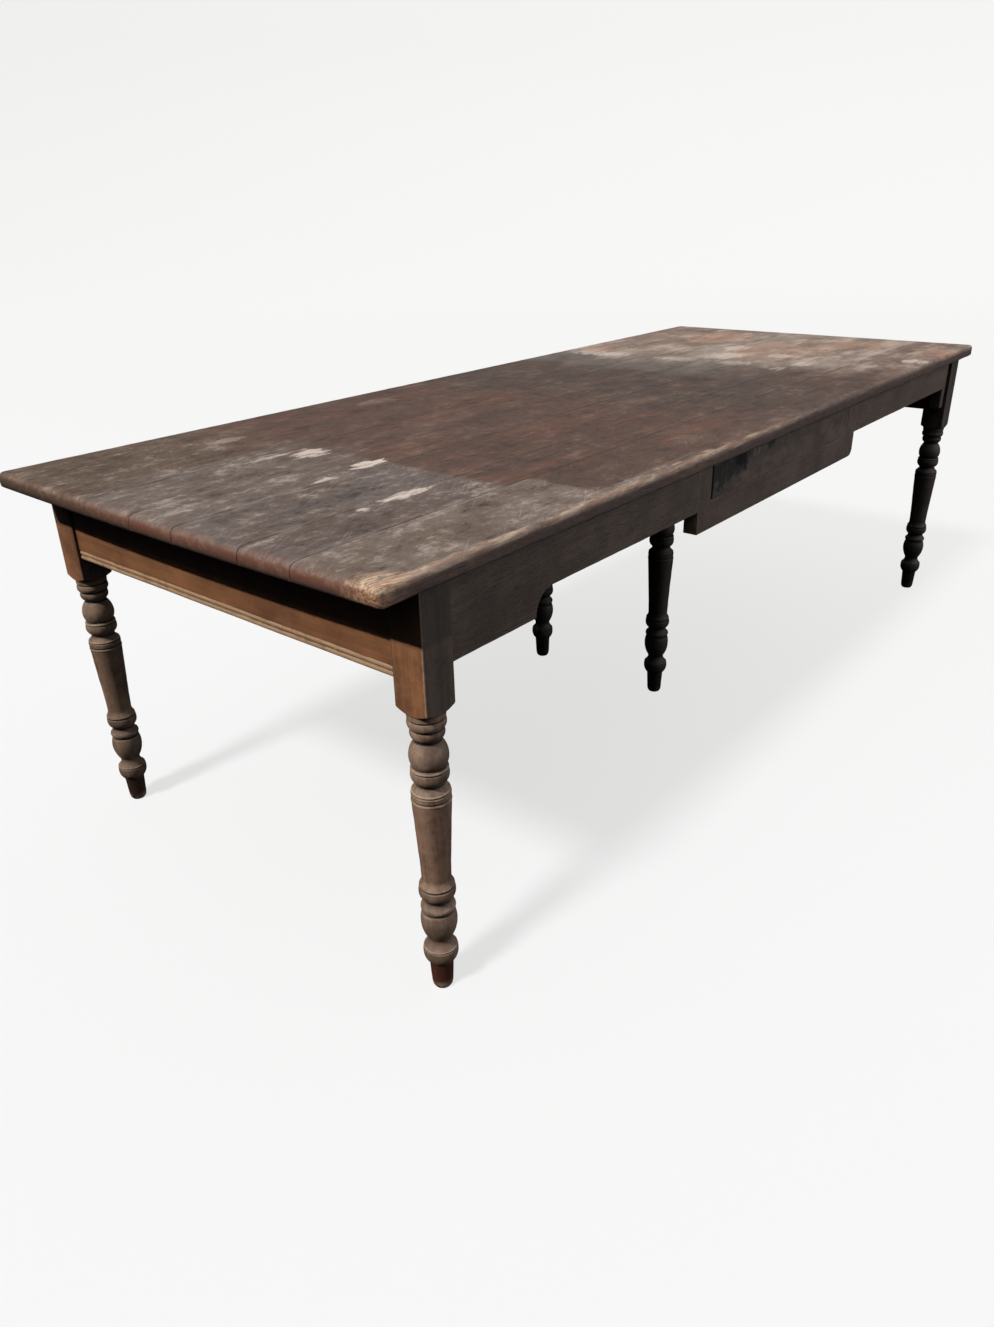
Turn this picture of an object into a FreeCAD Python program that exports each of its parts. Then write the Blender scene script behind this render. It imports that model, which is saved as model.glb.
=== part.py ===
import FreeCAD, Part
import math
import os
from types import SimpleNamespace

import Sketcher

# Driving dimensions in millimetres. X runs along the table, Y across it and Z up.
# The near end is at low X, the drawer side at low Y, and the floor is Z zero.
DIMENSIONS = {
    # whole table
    "top_length": 2560,
    "top_width": 1036,
    "table_height": 775,
    "top_thickness": 32,
    "end_overhang": 85,
    "side_overhang": 12,
    # worn edges of the top
    "top_corner_radius": 16,
    "top_edge_radius": 11,
    "under_edge_radius": 6,
    # joints between the planks
    "plank_gap": 0.8,
    "plank_arris": 1.4,
    "plank_tongue_length": 9,
    "plank_tongue_thickness": 10,
    # legs: square block, then the turning from the floor up
    "block_side": 64,
    "block_height": 206,
    "turning_root": 6,
    "foot_toe": 35,
    "foot_neck": 40,
    "ankle_ring_crown": 59.2,
    "ankle_ring_neck": 41.6,
    "vase_crown": 61,
    "vase_neck": 52,
    "vase_ring_crown": 57,
    "vase_ring_neck": 48,
    "lower_ring_crown": 61.6,
    "lower_ring_neck": 48.8,
    "shaft_crown": 62.8,
    "shaft_neck": 61,
    "reed_crown": 63.4,
    "reed_neck": 61,
    "shoulder_crown": 63.4,
    "shoulder_neck": 47.6,
    "upper_ring_crown": 62.4,
    "upper_ring_neck": 52.4,
    "ball_crown": 62.8,
    "ball_neck": 44,
    "ball_ring_crown": 58.2,
    "ball_ring_neck": 55.6,
    "block_ring_crown": 61.8,
    "block_ring_neck": 57,
    # middle pair of legs
    "middle_leg_spread": 380,
    "middle_tenon_side": 30,
    "middle_tenon_height": 36,
    # aprons along the table
    "apron_thickness": 30,
    "apron_recess": 9,
    "apron_deep": 138,
    "apron_near_depth": 93,
    "apron_far_depth": 80,
    "back_apron_depth": 155,
    "bracket_length": 209,
    "far_drop_width": 30,
    # end rails with their double bead
    "rail_thickness": 28,
    "rail_recess": 6,
    "rail_depth": 155,
    "bead_height": 9.5,
    "bead_relief": 2.6,
    # mortise and tenon joints
    "tenon_thickness": 10,
    "tenon_shoulder": 8,
    "tenon_haunch": 8,
    "tenon_wall": 7,
    "tenon_depth": 18,
    "joint_clearance": 0.2,
    # drawer section of the front
    "opening_width": 700,
    "stile_width": 50,
    "sill_height": 60,
    "stile_corner_radius": 18,
    # cross rails, bearer and runners behind the drawer section
    "cross_rail_thickness": 40,
    "cross_rail_depth": 113,
    "guide_gap": 2,
    "bearer_width": 64,
    "bearer_depth": 54,
    "bearer_gap": 3,
    "bearer_tenon_width": 44,
    "runner_width": 28,
    "runner_height": 24,
    "runner_gap": 0.3,
    # drawer
    "drawer_gap": 1.5,
    "drawer_set_back": 1,
    "drawer_depth": 560,
    "drawer_front_thickness": 22,
    "drawer_lap": 8,
    "drawer_side_thickness": 12,
    "drawer_side_drop": 8,
    "drawer_back_thickness": 12,
    "drawer_back_inset": 14,
    "drawer_back_drop": 6,
    "drawer_bottom_thickness": 8,
    "drawer_bottom_lift": 9,
    "drawer_groove": 6,
    "drawer_housing": 5,
    "tail_tip": 24,
    "tail_root": 17,
    "stop_length": 40,
    "stop_height": 6,
    "stop_spread": 400,
    "stop_gap": 0.3,
    # battens and buttons that hold the planks down
    "batten_width": 80,
    "batten_thickness": 26,
    "batten_end_gap": 20,
    "button_width": 30,
    "button_reach": 40,
    "button_height": 20,
    "button_tongue": 10,
    "button_tongue_thickness": 8,
    "button_drop": 7,
    # how far a cutting or trimming shape runs past what it cuts
    "overrun": 5,
}

# Members of the turning from the floor up, and the way each one is cut.
TURNED_MEMBERS = (
    ("foot", "taper"),
    ("ankle_ring", "bead"),
    ("vase", "bead"),
    ("vase_ring", "ridge"),
    ("lower_ring", "bead"),
    ("shaft", "taper"),
    ("reed", "ridge"),
    ("shoulder", "bead"),
    ("upper_ring", "bead"),
    ("ball", "bead"),
    ("ball_ring", "ridge"),
    ("block_ring", "bead"),
)

# Height of each member, as a share of the turning's height. The last member takes the rest.
HEIGHT_SHARES = {
    "foot": 0.104,
    "ankle_ring": 0.097,
    "vase": 0.104,
    "vase_ring": 0.043,
    "lower_ring": 0.08,
    "shaft": 0.266,
    "reed": 0.022,
    "shoulder": 0.047,
    "upper_ring": 0.063,
    "ball": 0.084,
    "ball_ring": 0.034,
}

# Height of each member's widest point, as a share of the member's own height.
CROWN_SHARES = {
    "ankle_ring": 0.46,
    "vase": 0.64,
    "vase_ring": 0.45,
    "lower_ring": 0.49,
    "reed": 0.5,
    "shoulder": 0.28,
    "upper_ring": 0.59,
    "ball": 0.39,
    "ball_ring": 0.7,
    "block_ring": 0.37,
}

# Widths of the planks from the drawer side back, as shares of the top's width. The last takes the rest.
PLANK_SHARES = (0.164, 0.112, 0.158, 0.114, 0.135)

# Places of the battens and buttons, as shares of the way from the middle of the frame to its legs.
BATTEN_SHARE = 0.676
APRON_BUTTON_SHARES = {"inner": 0.495, "outer": 0.849}
RAIL_BUTTON_SHARE = 0.498

# Beads along the lower edge of an end rail.
RAIL_BEADS = 2

# Heights of the dovetails' middles, as shares of the drawer side's height.
TAIL_SHARES = (0.27, 0.73)

ENDS = {"near": -1, "far": 1}
SIDES = {"front": -1, "back": 1}


class Size:
    """A length, as its value in millimetres and as its formula in the cells of the sheet."""

    def __init__(self, value, formula):
        self.value = value
        self.formula = formula

    @staticmethod
    def of(thing):
        return thing if isinstance(thing, Size) else Size(thing, str(thing))

    def worked(self, other, sign, value):
        return Size(value, f"({self.formula} {sign} {other.formula})")

    def __add__(self, other):
        other = Size.of(other)
        return self.worked(other, "+", self.value + other.value)

    def __sub__(self, other):
        other = Size.of(other)
        return self.worked(other, "-", self.value - other.value)

    def __mul__(self, other):
        other = Size.of(other)
        return self.worked(other, "*", self.value * other.value)

    def __truediv__(self, other):
        other = Size.of(other)
        return self.worked(other, "/", self.value / other.value)

    def __rmul__(self, other):
        return Size.of(other) * self

    def __neg__(self):
        return Size.of(0) - self


doc = FreeCAD.newDocument("refectory_table")
sheet = doc.addObject("Spreadsheet::Sheet", "dims")
for row, (alias, number) in enumerate(DIMENSIONS.items(), start=1):
    sheet.set(f"A{row}", alias)
    sheet.set(f"B{row}", str(number))
    sheet.setAlias(f"B{row}", alias)
doc.recompute()

size = SimpleNamespace(**{alias: Size(number, f"dims.{alias}") for alias, number in DIMENSIONS.items()})
nodes = []


# Places that several pieces share
half_length = size.top_length / 2
half_width = size.top_width / 2
half_block = size.block_side / 2
frame_top = size.table_height - size.top_thickness
turning_height = frame_top - size.block_height
leg_x = half_length - size.end_overhang - half_block
leg_y = half_width - size.side_overhang - half_block
leg_inner_x = leg_x - half_block
leg_inner_y = leg_y - half_block

apron_outer_y = leg_y + half_block - size.apron_recess
apron_inner_y = apron_outer_y - size.apron_thickness
apron_middle_y = apron_outer_y - size.apron_thickness / 2
rail_outer_x = leg_x + half_block - size.rail_recess
rail_inner_x = rail_outer_x - size.rail_thickness
rail_middle_x = rail_outer_x - size.rail_thickness / 2

deep_bottom = frame_top - size.apron_deep
near_bottom = frame_top - size.apron_near_depth
far_bottom = frame_top - size.apron_far_depth
back_bottom = frame_top - size.back_apron_depth
rail_bottom = frame_top - size.rail_depth
sill_top = deep_bottom + size.sill_height
tenon_top = frame_top - size.tenon_haunch

half_tenon = size.tenon_thickness / 2
opening_half = size.opening_width / 2
section_half = opening_half + size.stile_width
stile_middle = opening_half + size.stile_width / 2
apron_stub_end = stile_middle + half_tenon + size.tenon_wall
sill_tenon_end = apron_stub_end - size.tenon_wall
guide_x = opening_half + size.guide_gap
bearer_top = sill_top - size.bearer_gap
bearer_bottom = bearer_top - size.bearer_depth

drawer_half = opening_half - size.drawer_gap
drawer_face_y = size.drawer_set_back - apron_outer_y
drawer_shoulder_y = drawer_face_y + size.drawer_front_thickness
drawer_tip_y = drawer_face_y + size.drawer_lap
drawer_end_y = drawer_face_y + size.drawer_depth
side_inner_x = drawer_half - size.drawer_side_thickness
side_bottom = sill_top + size.runner_gap
side_top = frame_top - size.drawer_side_drop
floor_bottom = side_bottom + size.drawer_bottom_lift
floor_top = floor_bottom + size.drawer_bottom_thickness


# Ways of making a piece

def bind(thing, path, length):
    """Ties one property of an object to a length's formula."""
    thing.setExpression(path, Size.of(length).formula)


def place(thing, *corner):
    """Ties an object's position to three lengths."""
    for axis, length in zip("xyz", corner):
        bind(thing, f"Placement.Base.{axis}", length)


def signed(sign, inner, outer):
    """A span from inner to outer on the side of zero that the sign gives, lower end first."""
    return (inner, outer) if sign > 0 else (-outer, -inner)


def around(middle, width):
    """A span of the given width about a middle."""
    return middle - width / 2, middle + width / 2


def box(name, *spans):
    """A square-edged block over three spans, one along each axis."""
    block = doc.addObject("Part::Box", name)
    for side, (low, high) in zip(("Length", "Width", "Height"), spans):
        bind(block, side, Size.of(high) - low)
    place(block, *(low for low, high in spans))
    return block


def roomy(spans, room=size.joint_clearance):
    """The spans of a tenon, widened on all sides to those of its mortise."""
    return [(low - room, high + room) for low, high in spans]


def union(name, shapes):
    """Several shapes joined into one."""
    if len(shapes) == 1:
        return shapes[0]
    joined = doc.addObject("Part::MultiFuse", name)
    joined.Shapes = shapes
    joined.Refine = True
    return joined


def finished(name, blank, tenons=(), mortises=()):
    """A piece with its own node: a blank with its tenons added and its mortises cut away."""
    piece = union(f"{name}_with_tenons", [blank, *tenons])
    if mortises:
        cut = doc.addObject("Part::Cut", name)
        cut.Base = piece
        cut.Tool = union(f"{name}_mortises", list(mortises))
        piece = cut
    piece.Label = name
    nodes.append(piece)
    return piece


def group(name, solids):
    """Like pieces that share one node as separate solids."""
    together = doc.addObject("Part::Compound", name)
    together.Links = solids
    nodes.append(together)


def flat_sketch(body, name, role):
    """An empty sketch on the body's own plane of that role."""
    sketch = body.newObject("Sketcher::SketchObject", name)
    plane = next(feature for feature in body.Origin.OriginFeatures if feature.Role == role)
    sketch.AttachmentSupport = (plane, [""])
    sketch.MapMode = "FlatFace"
    return sketch


def arc_between(start, end, level):
    """The arc under a half circle from start to end whose centre lies at the given height.
    Also tells whether it runs anticlockwise."""
    (x0, y0), (x1, y1) = start, end
    across = (x0**2 + (y0 - level) ** 2 - x1**2 - (y1 - level) ** 2) / (2 * (x0 - x1))
    first = math.atan2(y0 - level, x0 - across)
    last = math.atan2(y1 - level, x1 - across)
    anticlockwise = math.sin(last - first) > 0
    if not anticlockwise:
        first, last = last, first
    circle = Part.Circle(
        FreeCAD.Vector(across, level, 0), FreeCAD.Vector(0, 0, 1), math.hypot(x0 - across, y0 - level)
    )
    return Part.ArcOfCircle(circle, first, last if last > first else last + math.tau), anticlockwise


def fix_point(sketch, geometry, end, x, y):
    """Sets a point of the sketch at x and y from the origin."""
    for kind, axis, length in (("DistanceX", -2, x), ("DistanceY", -1, y)):
        if isinstance(length, Size):
            rule = Sketcher.Constraint(kind, -1, 1, geometry, end, length.value)
            bind(sketch, f"Constraints[{sketch.addConstraint(rule)}]", length)
        else:
            sketch.addConstraint(Sketcher.Constraint("PointOnObject", geometry, end, axis))


def draw_outline(sketch, points):
    """A closed outline. A point (x, y) is reached by a line from the one before it, and a point
    (x, y, level) by an arc whose centre lies at that height."""
    ends = []
    for index, (x, y, *level) in enumerate(points):
        start = [Size.of(length).value for length in points[index - 1][:2]]
        end = [Size.of(x).value, Size.of(y).value]
        forward = True
        if level:
            line, forward = arc_between(start, end, level[0].value)
        else:
            line = Part.LineSegment(FreeCAD.Vector(*start, 0), FreeCAD.Vector(*end, 0))
        geometry = sketch.addGeometry(line, False)
        ends.append((geometry, 1, 2) if forward else (geometry, 2, 1))
    for index, (x, y, *level) in enumerate(points):
        geometry, first, last = ends[index]
        after, after_first, _ = ends[(index + 1) % len(points)]
        sketch.addConstraint(Sketcher.Constraint("Coincident", geometry, last, after, after_first))
        fix_point(sketch, geometry, last, x, y)
        if level:
            rule = Sketcher.Constraint("DistanceY", -1, 1, geometry, 3, level[0].value)
            bind(sketch, f"Constraints[{sketch.addConstraint(rule)}]", level[0])


def carried(body, name, sketch, length, reverse=False):
    """A sketch carried along its own axis by a length."""
    pad = body.newObject("PartDesign::Pad", name)
    pad.Profile = sketch
    bind(pad, "Length", length)
    pad.Reversed = reverse
    return pad


def shaped(name, role, points, length, *corner):
    """A body of one section: an outline on the plane of that role, carried up that plane's axis."""
    body = doc.addObject("PartDesign::Body", name)
    sketch = flat_sketch(body, f"{name}_outline", role)
    draw_outline(sketch, points)
    carried(body, f"{name}_pad", sketch, length, reverse=role == "XZ_Plane")
    place(body, *corner)
    return body


def rounded(body, name, base, radius, wanted):
    """Rounds those edges of a body's feature that a test picks out."""
    doc.recompute()
    edges = [f"Edge{count}" for count, edge in enumerate(base.Shape.Edges, start=1) if wanted(edge.BoundBox)]
    fillet = body.newObject("PartDesign::Fillet", name)
    fillet.Base = (base, edges)
    bind(fillet, "Radius", radius)
    return fillet


def rectangle(x, y):
    """The four corners of an outline over two spans."""
    return [(x[0], y[0]), (x[1], y[0]), (x[1], y[1]), (x[0], y[1])]


# Joints, as the spans of their tenons

def apron_tenon(end, side, bottom):
    """Tenon of a long apron in a corner leg, which stops short of the end rail's tenon."""
    reach = rail_middle_x - half_tenon - size.tenon_wall
    return [
        signed(end, leg_inner_x, reach),
        around(apron_middle_y * side, size.tenon_thickness),
        (bottom + size.tenon_shoulder, tenon_top),
    ]


def rail_tenon(end, side):
    """Tenon of an end rail in a corner leg, which stops short of the apron's tenon."""
    reach = apron_middle_y - half_tenon - size.tenon_wall
    return [
        around(rail_middle_x * end, size.tenon_thickness),
        signed(side, leg_inner_y, reach),
        (rail_bottom + size.tenon_shoulder, tenon_top),
    ]


def stile_stub(end, bottom):
    """Stub tenon of a front apron in the outer edge of a drawer stile."""
    return [
        signed(end, apron_stub_end, section_half),
        around(-apron_middle_y, size.tenon_thickness),
        (bottom + size.tenon_shoulder, tenon_top),
    ]


def sill_tenon(end):
    """Tenon of the lower drawer rail in the inner edge of a drawer stile."""
    return [
        signed(end, opening_half, sill_tenon_end),
        around(-apron_middle_y, size.tenon_thickness),
        (deep_bottom + size.tenon_shoulder, sill_top - size.tenon_shoulder),
    ]


def cross_tenon(end, side):
    """Tenon of a drawer cross rail, in a stile at the front and in the apron at the back."""
    return [
        around(stile_middle * end, size.tenon_thickness),
        signed(side, apron_inner_y, apron_inner_y + size.tenon_depth),
        (sill_top + size.tenon_shoulder, tenon_top),
    ]


def bearer_tenon(side):
    """Flat tenon of the bearer, in the lower drawer rail at the front and in the apron at the back."""
    return [
        around(Size.of(0), size.bearer_tenon_width),
        signed(side, apron_inner_y, apron_inner_y + size.tenon_depth),
        around(bearer_top - size.bearer_depth / 2, size.tenon_thickness),
    ]


def middle_tenon(side):
    """Square tenon of a middle leg in the bearer."""
    return [
        around(Size.of(0), size.middle_tenon_side),
        around(size.middle_leg_spread / 2 * side, size.middle_tenon_side),
        (bearer_bottom, bearer_bottom + size.middle_tenon_height),
    ]


def button_spans(end, side, along):
    """Spans of a button's block and of its tongue: on an end rail where side is zero, else on an apron."""
    inner = apron_inner_y if side else rail_inner_x
    sign = side if side else end
    block = signed(sign, inner - size.button_reach, inner)
    tongue = signed(sign, inner, inner + size.button_tongue)
    width = around(along, size.button_width)
    slot_top = frame_top - size.button_drop
    heights = (frame_top - size.button_height, frame_top), (slot_top - size.button_tongue_thickness, slot_top)
    if side:
        return [width, block, heights[0]], [width, tongue, heights[1]]
    return [block, width, heights[0]], [tongue, width, heights[1]]


# Places of the buttons: two on each half of a long apron and two on each end rail
buttons = {}
for end_name, end in ENDS.items():
    for side_name, side in SIDES.items():
        for row_name, share in APRON_BUTTON_SHARES.items():
            buttons[side_name, end_name, row_name] = button_spans(end, side, leg_inner_x * share * end)
        buttons["rail", end_name, side_name] = button_spans(end, 0, leg_inner_y * RAIL_BUTTON_SHARE * side)


def button_slots(name, board, end_names):
    """The slots that the buttons' tongues sit in, cut in one board."""
    return [
        box(f"{name}_slot_{spot}", *roomy(tongue))
        for (carrier, end_name, spot), (_, tongue) in buttons.items()
        if carrier == board and end_name in end_names
    ]


# Top: one slab with worn edges, divided into tongued and grooved planks

def top_slab():
    """The whole top, with round corners and round edges."""
    body = doc.addObject("PartDesign::Body", "top_slab")
    outline = flat_sketch(body, "top_slab_outline", "XY_Plane")
    draw_outline(outline, rectangle((-half_length, half_length), (-half_width, half_width)))
    slab = carried(body, "top_slab_pad", outline, size.top_thickness)
    middle = size.top_thickness.value / 2
    slab = rounded(
        body, "top_slab_corners", slab, size.top_corner_radius, lambda reach: reach.ZMin < middle < reach.ZMax
    )
    slab = rounded(
        body, "top_slab_upper_edge", slab, size.top_edge_radius, lambda reach: reach.ZMin > middle
    )
    rounded(body, "top_slab_under_edge", slab, size.under_edge_radius, lambda reach: reach.ZMax < middle)
    place(body, 0, 0, frame_top)
    return body


def plank_section(front, back, first, last):
    """Section of one plank between two joint lines, with a groove in front and a tongue behind.
    The first plank has no groove, the last no tongue, and both run past the slab's edge."""
    under = frame_top - size.overrun
    face = size.table_height
    tongue_low, tongue_high = around(frame_top + size.top_thickness / 2, size.plank_tongue_thickness)
    points = []
    if last:
        edge = back + size.overrun
        points += [(edge, under), (edge, face)]
    else:
        edge = back - size.plank_gap / 2
        tip = edge + size.plank_tongue_length
        points += [(edge, under), (edge, tongue_low), (tip, tongue_low), (tip, tongue_high)]
        points += [(edge, tongue_high), (edge, face - size.plank_arris), (edge - size.plank_arris, face)]
    if first:
        edge = front - size.overrun
        points += [(edge, face), (edge, under)]
    else:
        edge = front + size.plank_gap / 2
        end = front - size.plank_gap / 2 + size.plank_tongue_length + size.joint_clearance
        low = tongue_low - size.joint_clearance
        high = tongue_high + size.joint_clearance
        points += [(edge + size.plank_arris, face), (edge, face - size.plank_arris), (edge, high)]
        points += [(end, high), (end, low), (edge, low), (edge, under)]
    return points


def make_top():
    slab = top_slab()
    lines = [-half_width]
    for share in PLANK_SHARES:
        lines.append(lines[-1] + size.top_width * share)
    lines.append(half_width)
    count = len(lines) - 1
    for number in range(1, count + 1):
        name = f"top_plank_{number}"
        section = plank_section(lines[number - 1], lines[number], number == 1, number == count)
        strip = shaped(
            f"{name}_strip", "YZ_Plane", section, size.top_length + 2 * size.overrun,
            -half_length - size.overrun, 0, 0,
        )
        plank = doc.addObject("Part::Common", name)
        plank.Base = slab
        plank.Tool = strip
        nodes.append(plank)


# Legs

def turned_profile():
    """Half section of the turning from the floor up. A bead is two arcs that meet upright at its crown,
    a ridge is two straight slopes, and a taper is one slope with a step back to its neck.
    The last member ends where the square block begins."""
    level = Size.of(0)
    neck = size.foot_toe / 2
    points = [(0, 0), (neck, 0)]
    for member, way in TURNED_MEMBERS:
        share = HEIGHT_SHARES.get(member)
        height = turning_height * share if share else turning_height - level
        top = level + height
        neck = getattr(size, f"{member}_neck") / 2
        if way == "taper":
            crown = getattr(size, f"{member}_crown", None)
            if crown:
                points.append((crown / 2, top))
            points.append((neck, top))
        else:
            crown = getattr(size, f"{member}_crown") / 2
            crown_level = level + height * CROWN_SHARES[member]
            arc = (crown_level,) if way == "bead" else ()
            points += [(crown, crown_level, *arc), (neck, top, *arc)]
        level = top
    root = level + size.turning_root
    return points + [(neck, root), (0, root)]


def turned_leg(name, x, y, block_top):
    """A turning with a square block above it."""
    body = doc.addObject("PartDesign::Body", name)
    profile = flat_sketch(body, f"{name}_profile", "XZ_Plane")
    draw_outline(profile, turned_profile())
    turning = body.newObject("PartDesign::Revolution", f"{name}_turning")
    turning.Profile = profile
    turning.ReferenceAxis = (profile, ["V_Axis"])
    turning.Angle = 360
    square = flat_sketch(body, f"{name}_square", "XY_Plane")
    bind(square, "AttachmentOffset.Base.z", turning_height)
    draw_outline(square, rectangle((-half_block, half_block), (-half_block, half_block)))
    carried(body, f"{name}_block", square, block_top - turning_height)
    place(body, x, y, 0)
    return body


def make_legs():
    for end_name, end in ENDS.items():
        for side_name, side in SIDES.items():
            name = f"leg_{end_name}_{side_name}"
            bottom = deep_bottom if side_name == "front" else back_bottom
            mortises = [
                box(f"{name}_apron_mortise", *roomy(apron_tenon(end, side, bottom))),
                box(f"{name}_rail_mortise", *roomy(rail_tenon(end, side))),
            ]
            finished(name, turned_leg(f"{name}_blank", leg_x * end, leg_y * side, frame_top), (), mortises)
    for side_name, side in SIDES.items():
        name = f"leg_middle_{side_name}"
        blank = turned_leg(f"{name}_blank", 0, size.middle_leg_spread / 2 * side, bearer_bottom)
        finished(name, blank, [box(f"{name}_tenon", *middle_tenon(side))])


# Aprons and end rails

def make_front_aprons():
    """The near board has a deep bracket by the leg that ends in a hollow curve, the far one a short drop."""
    bracket = size.bracket_length - leg_inner_x
    hollow = near_bottom - deep_bottom
    near_points = [
        (-leg_inner_x, frame_top),
        (-leg_inner_x, deep_bottom),
        (bracket, deep_bottom),
        (bracket + hollow, near_bottom, deep_bottom),
        (-section_half, near_bottom),
        (-section_half, frame_top),
    ]
    drop = leg_inner_x - size.far_drop_width
    far_points = [
        (section_half, frame_top),
        (section_half, far_bottom),
        (drop, far_bottom),
        (drop, deep_bottom),
        (leg_inner_x, deep_bottom),
        (leg_inner_x, frame_top),
    ]
    for end_name, points, bottom in (("near", near_points, near_bottom), ("far", far_points, far_bottom)):
        name = f"front_apron_{end_name}"
        end = ENDS[end_name]
        board = shaped(f"{name}_board", "XZ_Plane", points, size.apron_thickness, 0, -apron_outer_y, 0)
        tenons = [
            box(f"{name}_leg_tenon", *apron_tenon(end, SIDES["front"], deep_bottom)),
            box(f"{name}_stile_stub", *stile_stub(end, bottom)),
        ]
        finished(name, board, tenons, button_slots(name, "front", [end_name]))


def make_back_apron():
    name = "back_apron"
    board = box(
        f"{name}_board",
        (-leg_inner_x, leg_inner_x), (apron_inner_y, apron_outer_y), (back_bottom, frame_top),
    )
    back = SIDES["back"]
    tenons = []
    mortises = [box(f"{name}_bearer_mortise", *roomy(bearer_tenon(back)))]
    for end_name, end in ENDS.items():
        tenons.append(box(f"{name}_{end_name}_tenon", *apron_tenon(end, back, back_bottom)))
        mortises.append(box(f"{name}_{end_name}_cross_mortise", *roomy(cross_tenon(end, back))))
    finished(name, board, tenons, mortises + button_slots(name, "back", list(ENDS)))


def end_rail_section(end):
    """Section of an end rail: a plain board whose outer face has a double bead along its lower edge."""
    outer = rail_outer_x * end
    inner = rail_inner_x * end
    relief = (rail_outer_x - size.bead_relief) * end
    points = [(inner, rail_bottom), (inner, frame_top), (outer, frame_top)]
    level = rail_bottom + RAIL_BEADS * size.bead_height
    points += [(outer, level), (relief, level)]
    for _ in range(RAIL_BEADS):
        crown = level - size.bead_height / 2
        level = level - size.bead_height
        points += [(outer, crown, crown), (relief, level, crown)]
    return points


def make_end_rails():
    for end_name, end in ENDS.items():
        name = f"end_rail_{end_name}"
        board = shaped(
            f"{name}_board", "XZ_Plane", end_rail_section(end), 2 * leg_inner_y, 0, -leg_inner_y, 0
        )
        tenons = [
            box(f"{name}_{side_name}_tenon", *rail_tenon(end, side)) for side_name, side in SIDES.items()
        ]
        finished(name, board, tenons, button_slots(name, "rail", [end_name]))


# Drawer section of the front, and what carries the drawer and the middle legs

def make_drawer_section():
    front = SIDES["front"]
    radius = size.stile_corner_radius
    stile_points = {
        "near": rectangle((-section_half, -opening_half), (deep_bottom, frame_top)),
        "far": [
            (opening_half, frame_top),
            (opening_half, deep_bottom),
            (section_half - radius, deep_bottom),
            (section_half, deep_bottom + radius, deep_bottom + radius),
            (section_half, frame_top),
        ],
    }
    bottoms = {"near": near_bottom, "far": far_bottom}
    for end_name, end in ENDS.items():
        name = f"drawer_stile_{end_name}"
        stile = shaped(
            f"{name}_board", "XZ_Plane", stile_points[end_name], size.apron_thickness, 0, -apron_outer_y, 0
        )
        mortises = [
            box(f"{name}_apron_mortise", *roomy(stile_stub(end, bottoms[end_name]))),
            box(f"{name}_sill_mortise", *roomy(sill_tenon(end))),
            box(f"{name}_cross_mortise", *roomy(cross_tenon(end, front))),
        ]
        finished(name, stile, (), mortises)
    sill = box(
        "lower_drawer_rail_board",
        (-opening_half, opening_half), (-apron_outer_y, -apron_inner_y), (deep_bottom, sill_top),
    )
    tenons = [box(f"lower_drawer_rail_{end_name}_tenon", *sill_tenon(end)) for end_name, end in ENDS.items()]
    finished(
        "lower_drawer_rail", sill, tenons, [box("lower_drawer_rail_mortise", *roomy(bearer_tenon(front)))]
    )


def make_drawer_carriers():
    across = (-apron_inner_y, apron_inner_y)
    for end_name, end in ENDS.items():
        name = f"drawer_cross_rail_{end_name}"
        rail = box(
            f"{name}_board",
            signed(end, guide_x, guide_x + size.cross_rail_thickness),
            across,
            (frame_top - size.cross_rail_depth, frame_top),
        )
        tenons = [
            box(f"{name}_{side_name}_tenon", *cross_tenon(end, side)) for side_name, side in SIDES.items()
        ]
        finished(name, rail, tenons)
        name = f"drawer_runner_{end_name}"
        runner = box(
            f"{name}_strip",
            signed(end, guide_x - size.runner_width, guide_x),
            across,
            (sill_top - size.runner_height, sill_top),
        )
        finished(name, runner)
    bearer = box(
        "middle_bearer_beam", around(Size.of(0), size.bearer_width), across, (bearer_bottom, bearer_top)
    )
    tenons = []
    mortises = []
    for side_name, side in SIDES.items():
        tenons.append(box(f"middle_bearer_{side_name}_tenon", *bearer_tenon(side)))
        mortises.append(box(f"middle_bearer_{side_name}_mortise", *roomy(middle_tenon(side))))
    finished("middle_bearer", bearer, tenons, mortises)
    stop_span = (drawer_shoulder_y + size.stop_gap, -apron_inner_y)
    stops = [
        box(
            f"drawer_stop_{end_name}",
            around(size.stop_spread / 2 * end, size.stop_length),
            stop_span,
            (sill_top, sill_top + size.stop_height),
        )
        for end_name, end in ENDS.items()
    ]
    group("drawer_stops", stops)


# Drawer

def tail_levels():
    """Heights of the middles of a drawer side's dovetails."""
    return [side_bottom + (side_top - side_bottom) * share for share in TAIL_SHARES]


def drawer_side_outline():
    """A drawer side seen from the end of the table, with its dovetails at the front."""
    points = [(drawer_end_y, side_bottom), (drawer_end_y, side_top), (drawer_shoulder_y, side_top)]
    for level in reversed(tail_levels()):
        root_low, root_high = around(level, size.tail_root)
        tip_low, tip_high = around(level, size.tail_tip)
        points += [(drawer_shoulder_y, root_high), (drawer_tip_y, tip_high)]
        points += [(drawer_tip_y, tip_low), (drawer_shoulder_y, root_low)]
    return points + [(drawer_shoulder_y, side_bottom)]


def tail_socket_outline(level):
    """The socket of one dovetail, a clearance larger all round and open towards the drawer's inside."""
    room = size.joint_clearance
    root_low, root_high = around(level, size.tail_root + 2 * room)
    tip_low, tip_high = around(level, size.tail_tip + 2 * room)
    mouth = drawer_shoulder_y + size.overrun
    return [
        (mouth, root_low),
        (mouth, root_high),
        (drawer_shoulder_y, root_high),
        (drawer_tip_y - room, tip_high),
        (drawer_tip_y - room, tip_low),
        (drawer_shoulder_y, root_low),
    ]


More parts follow.
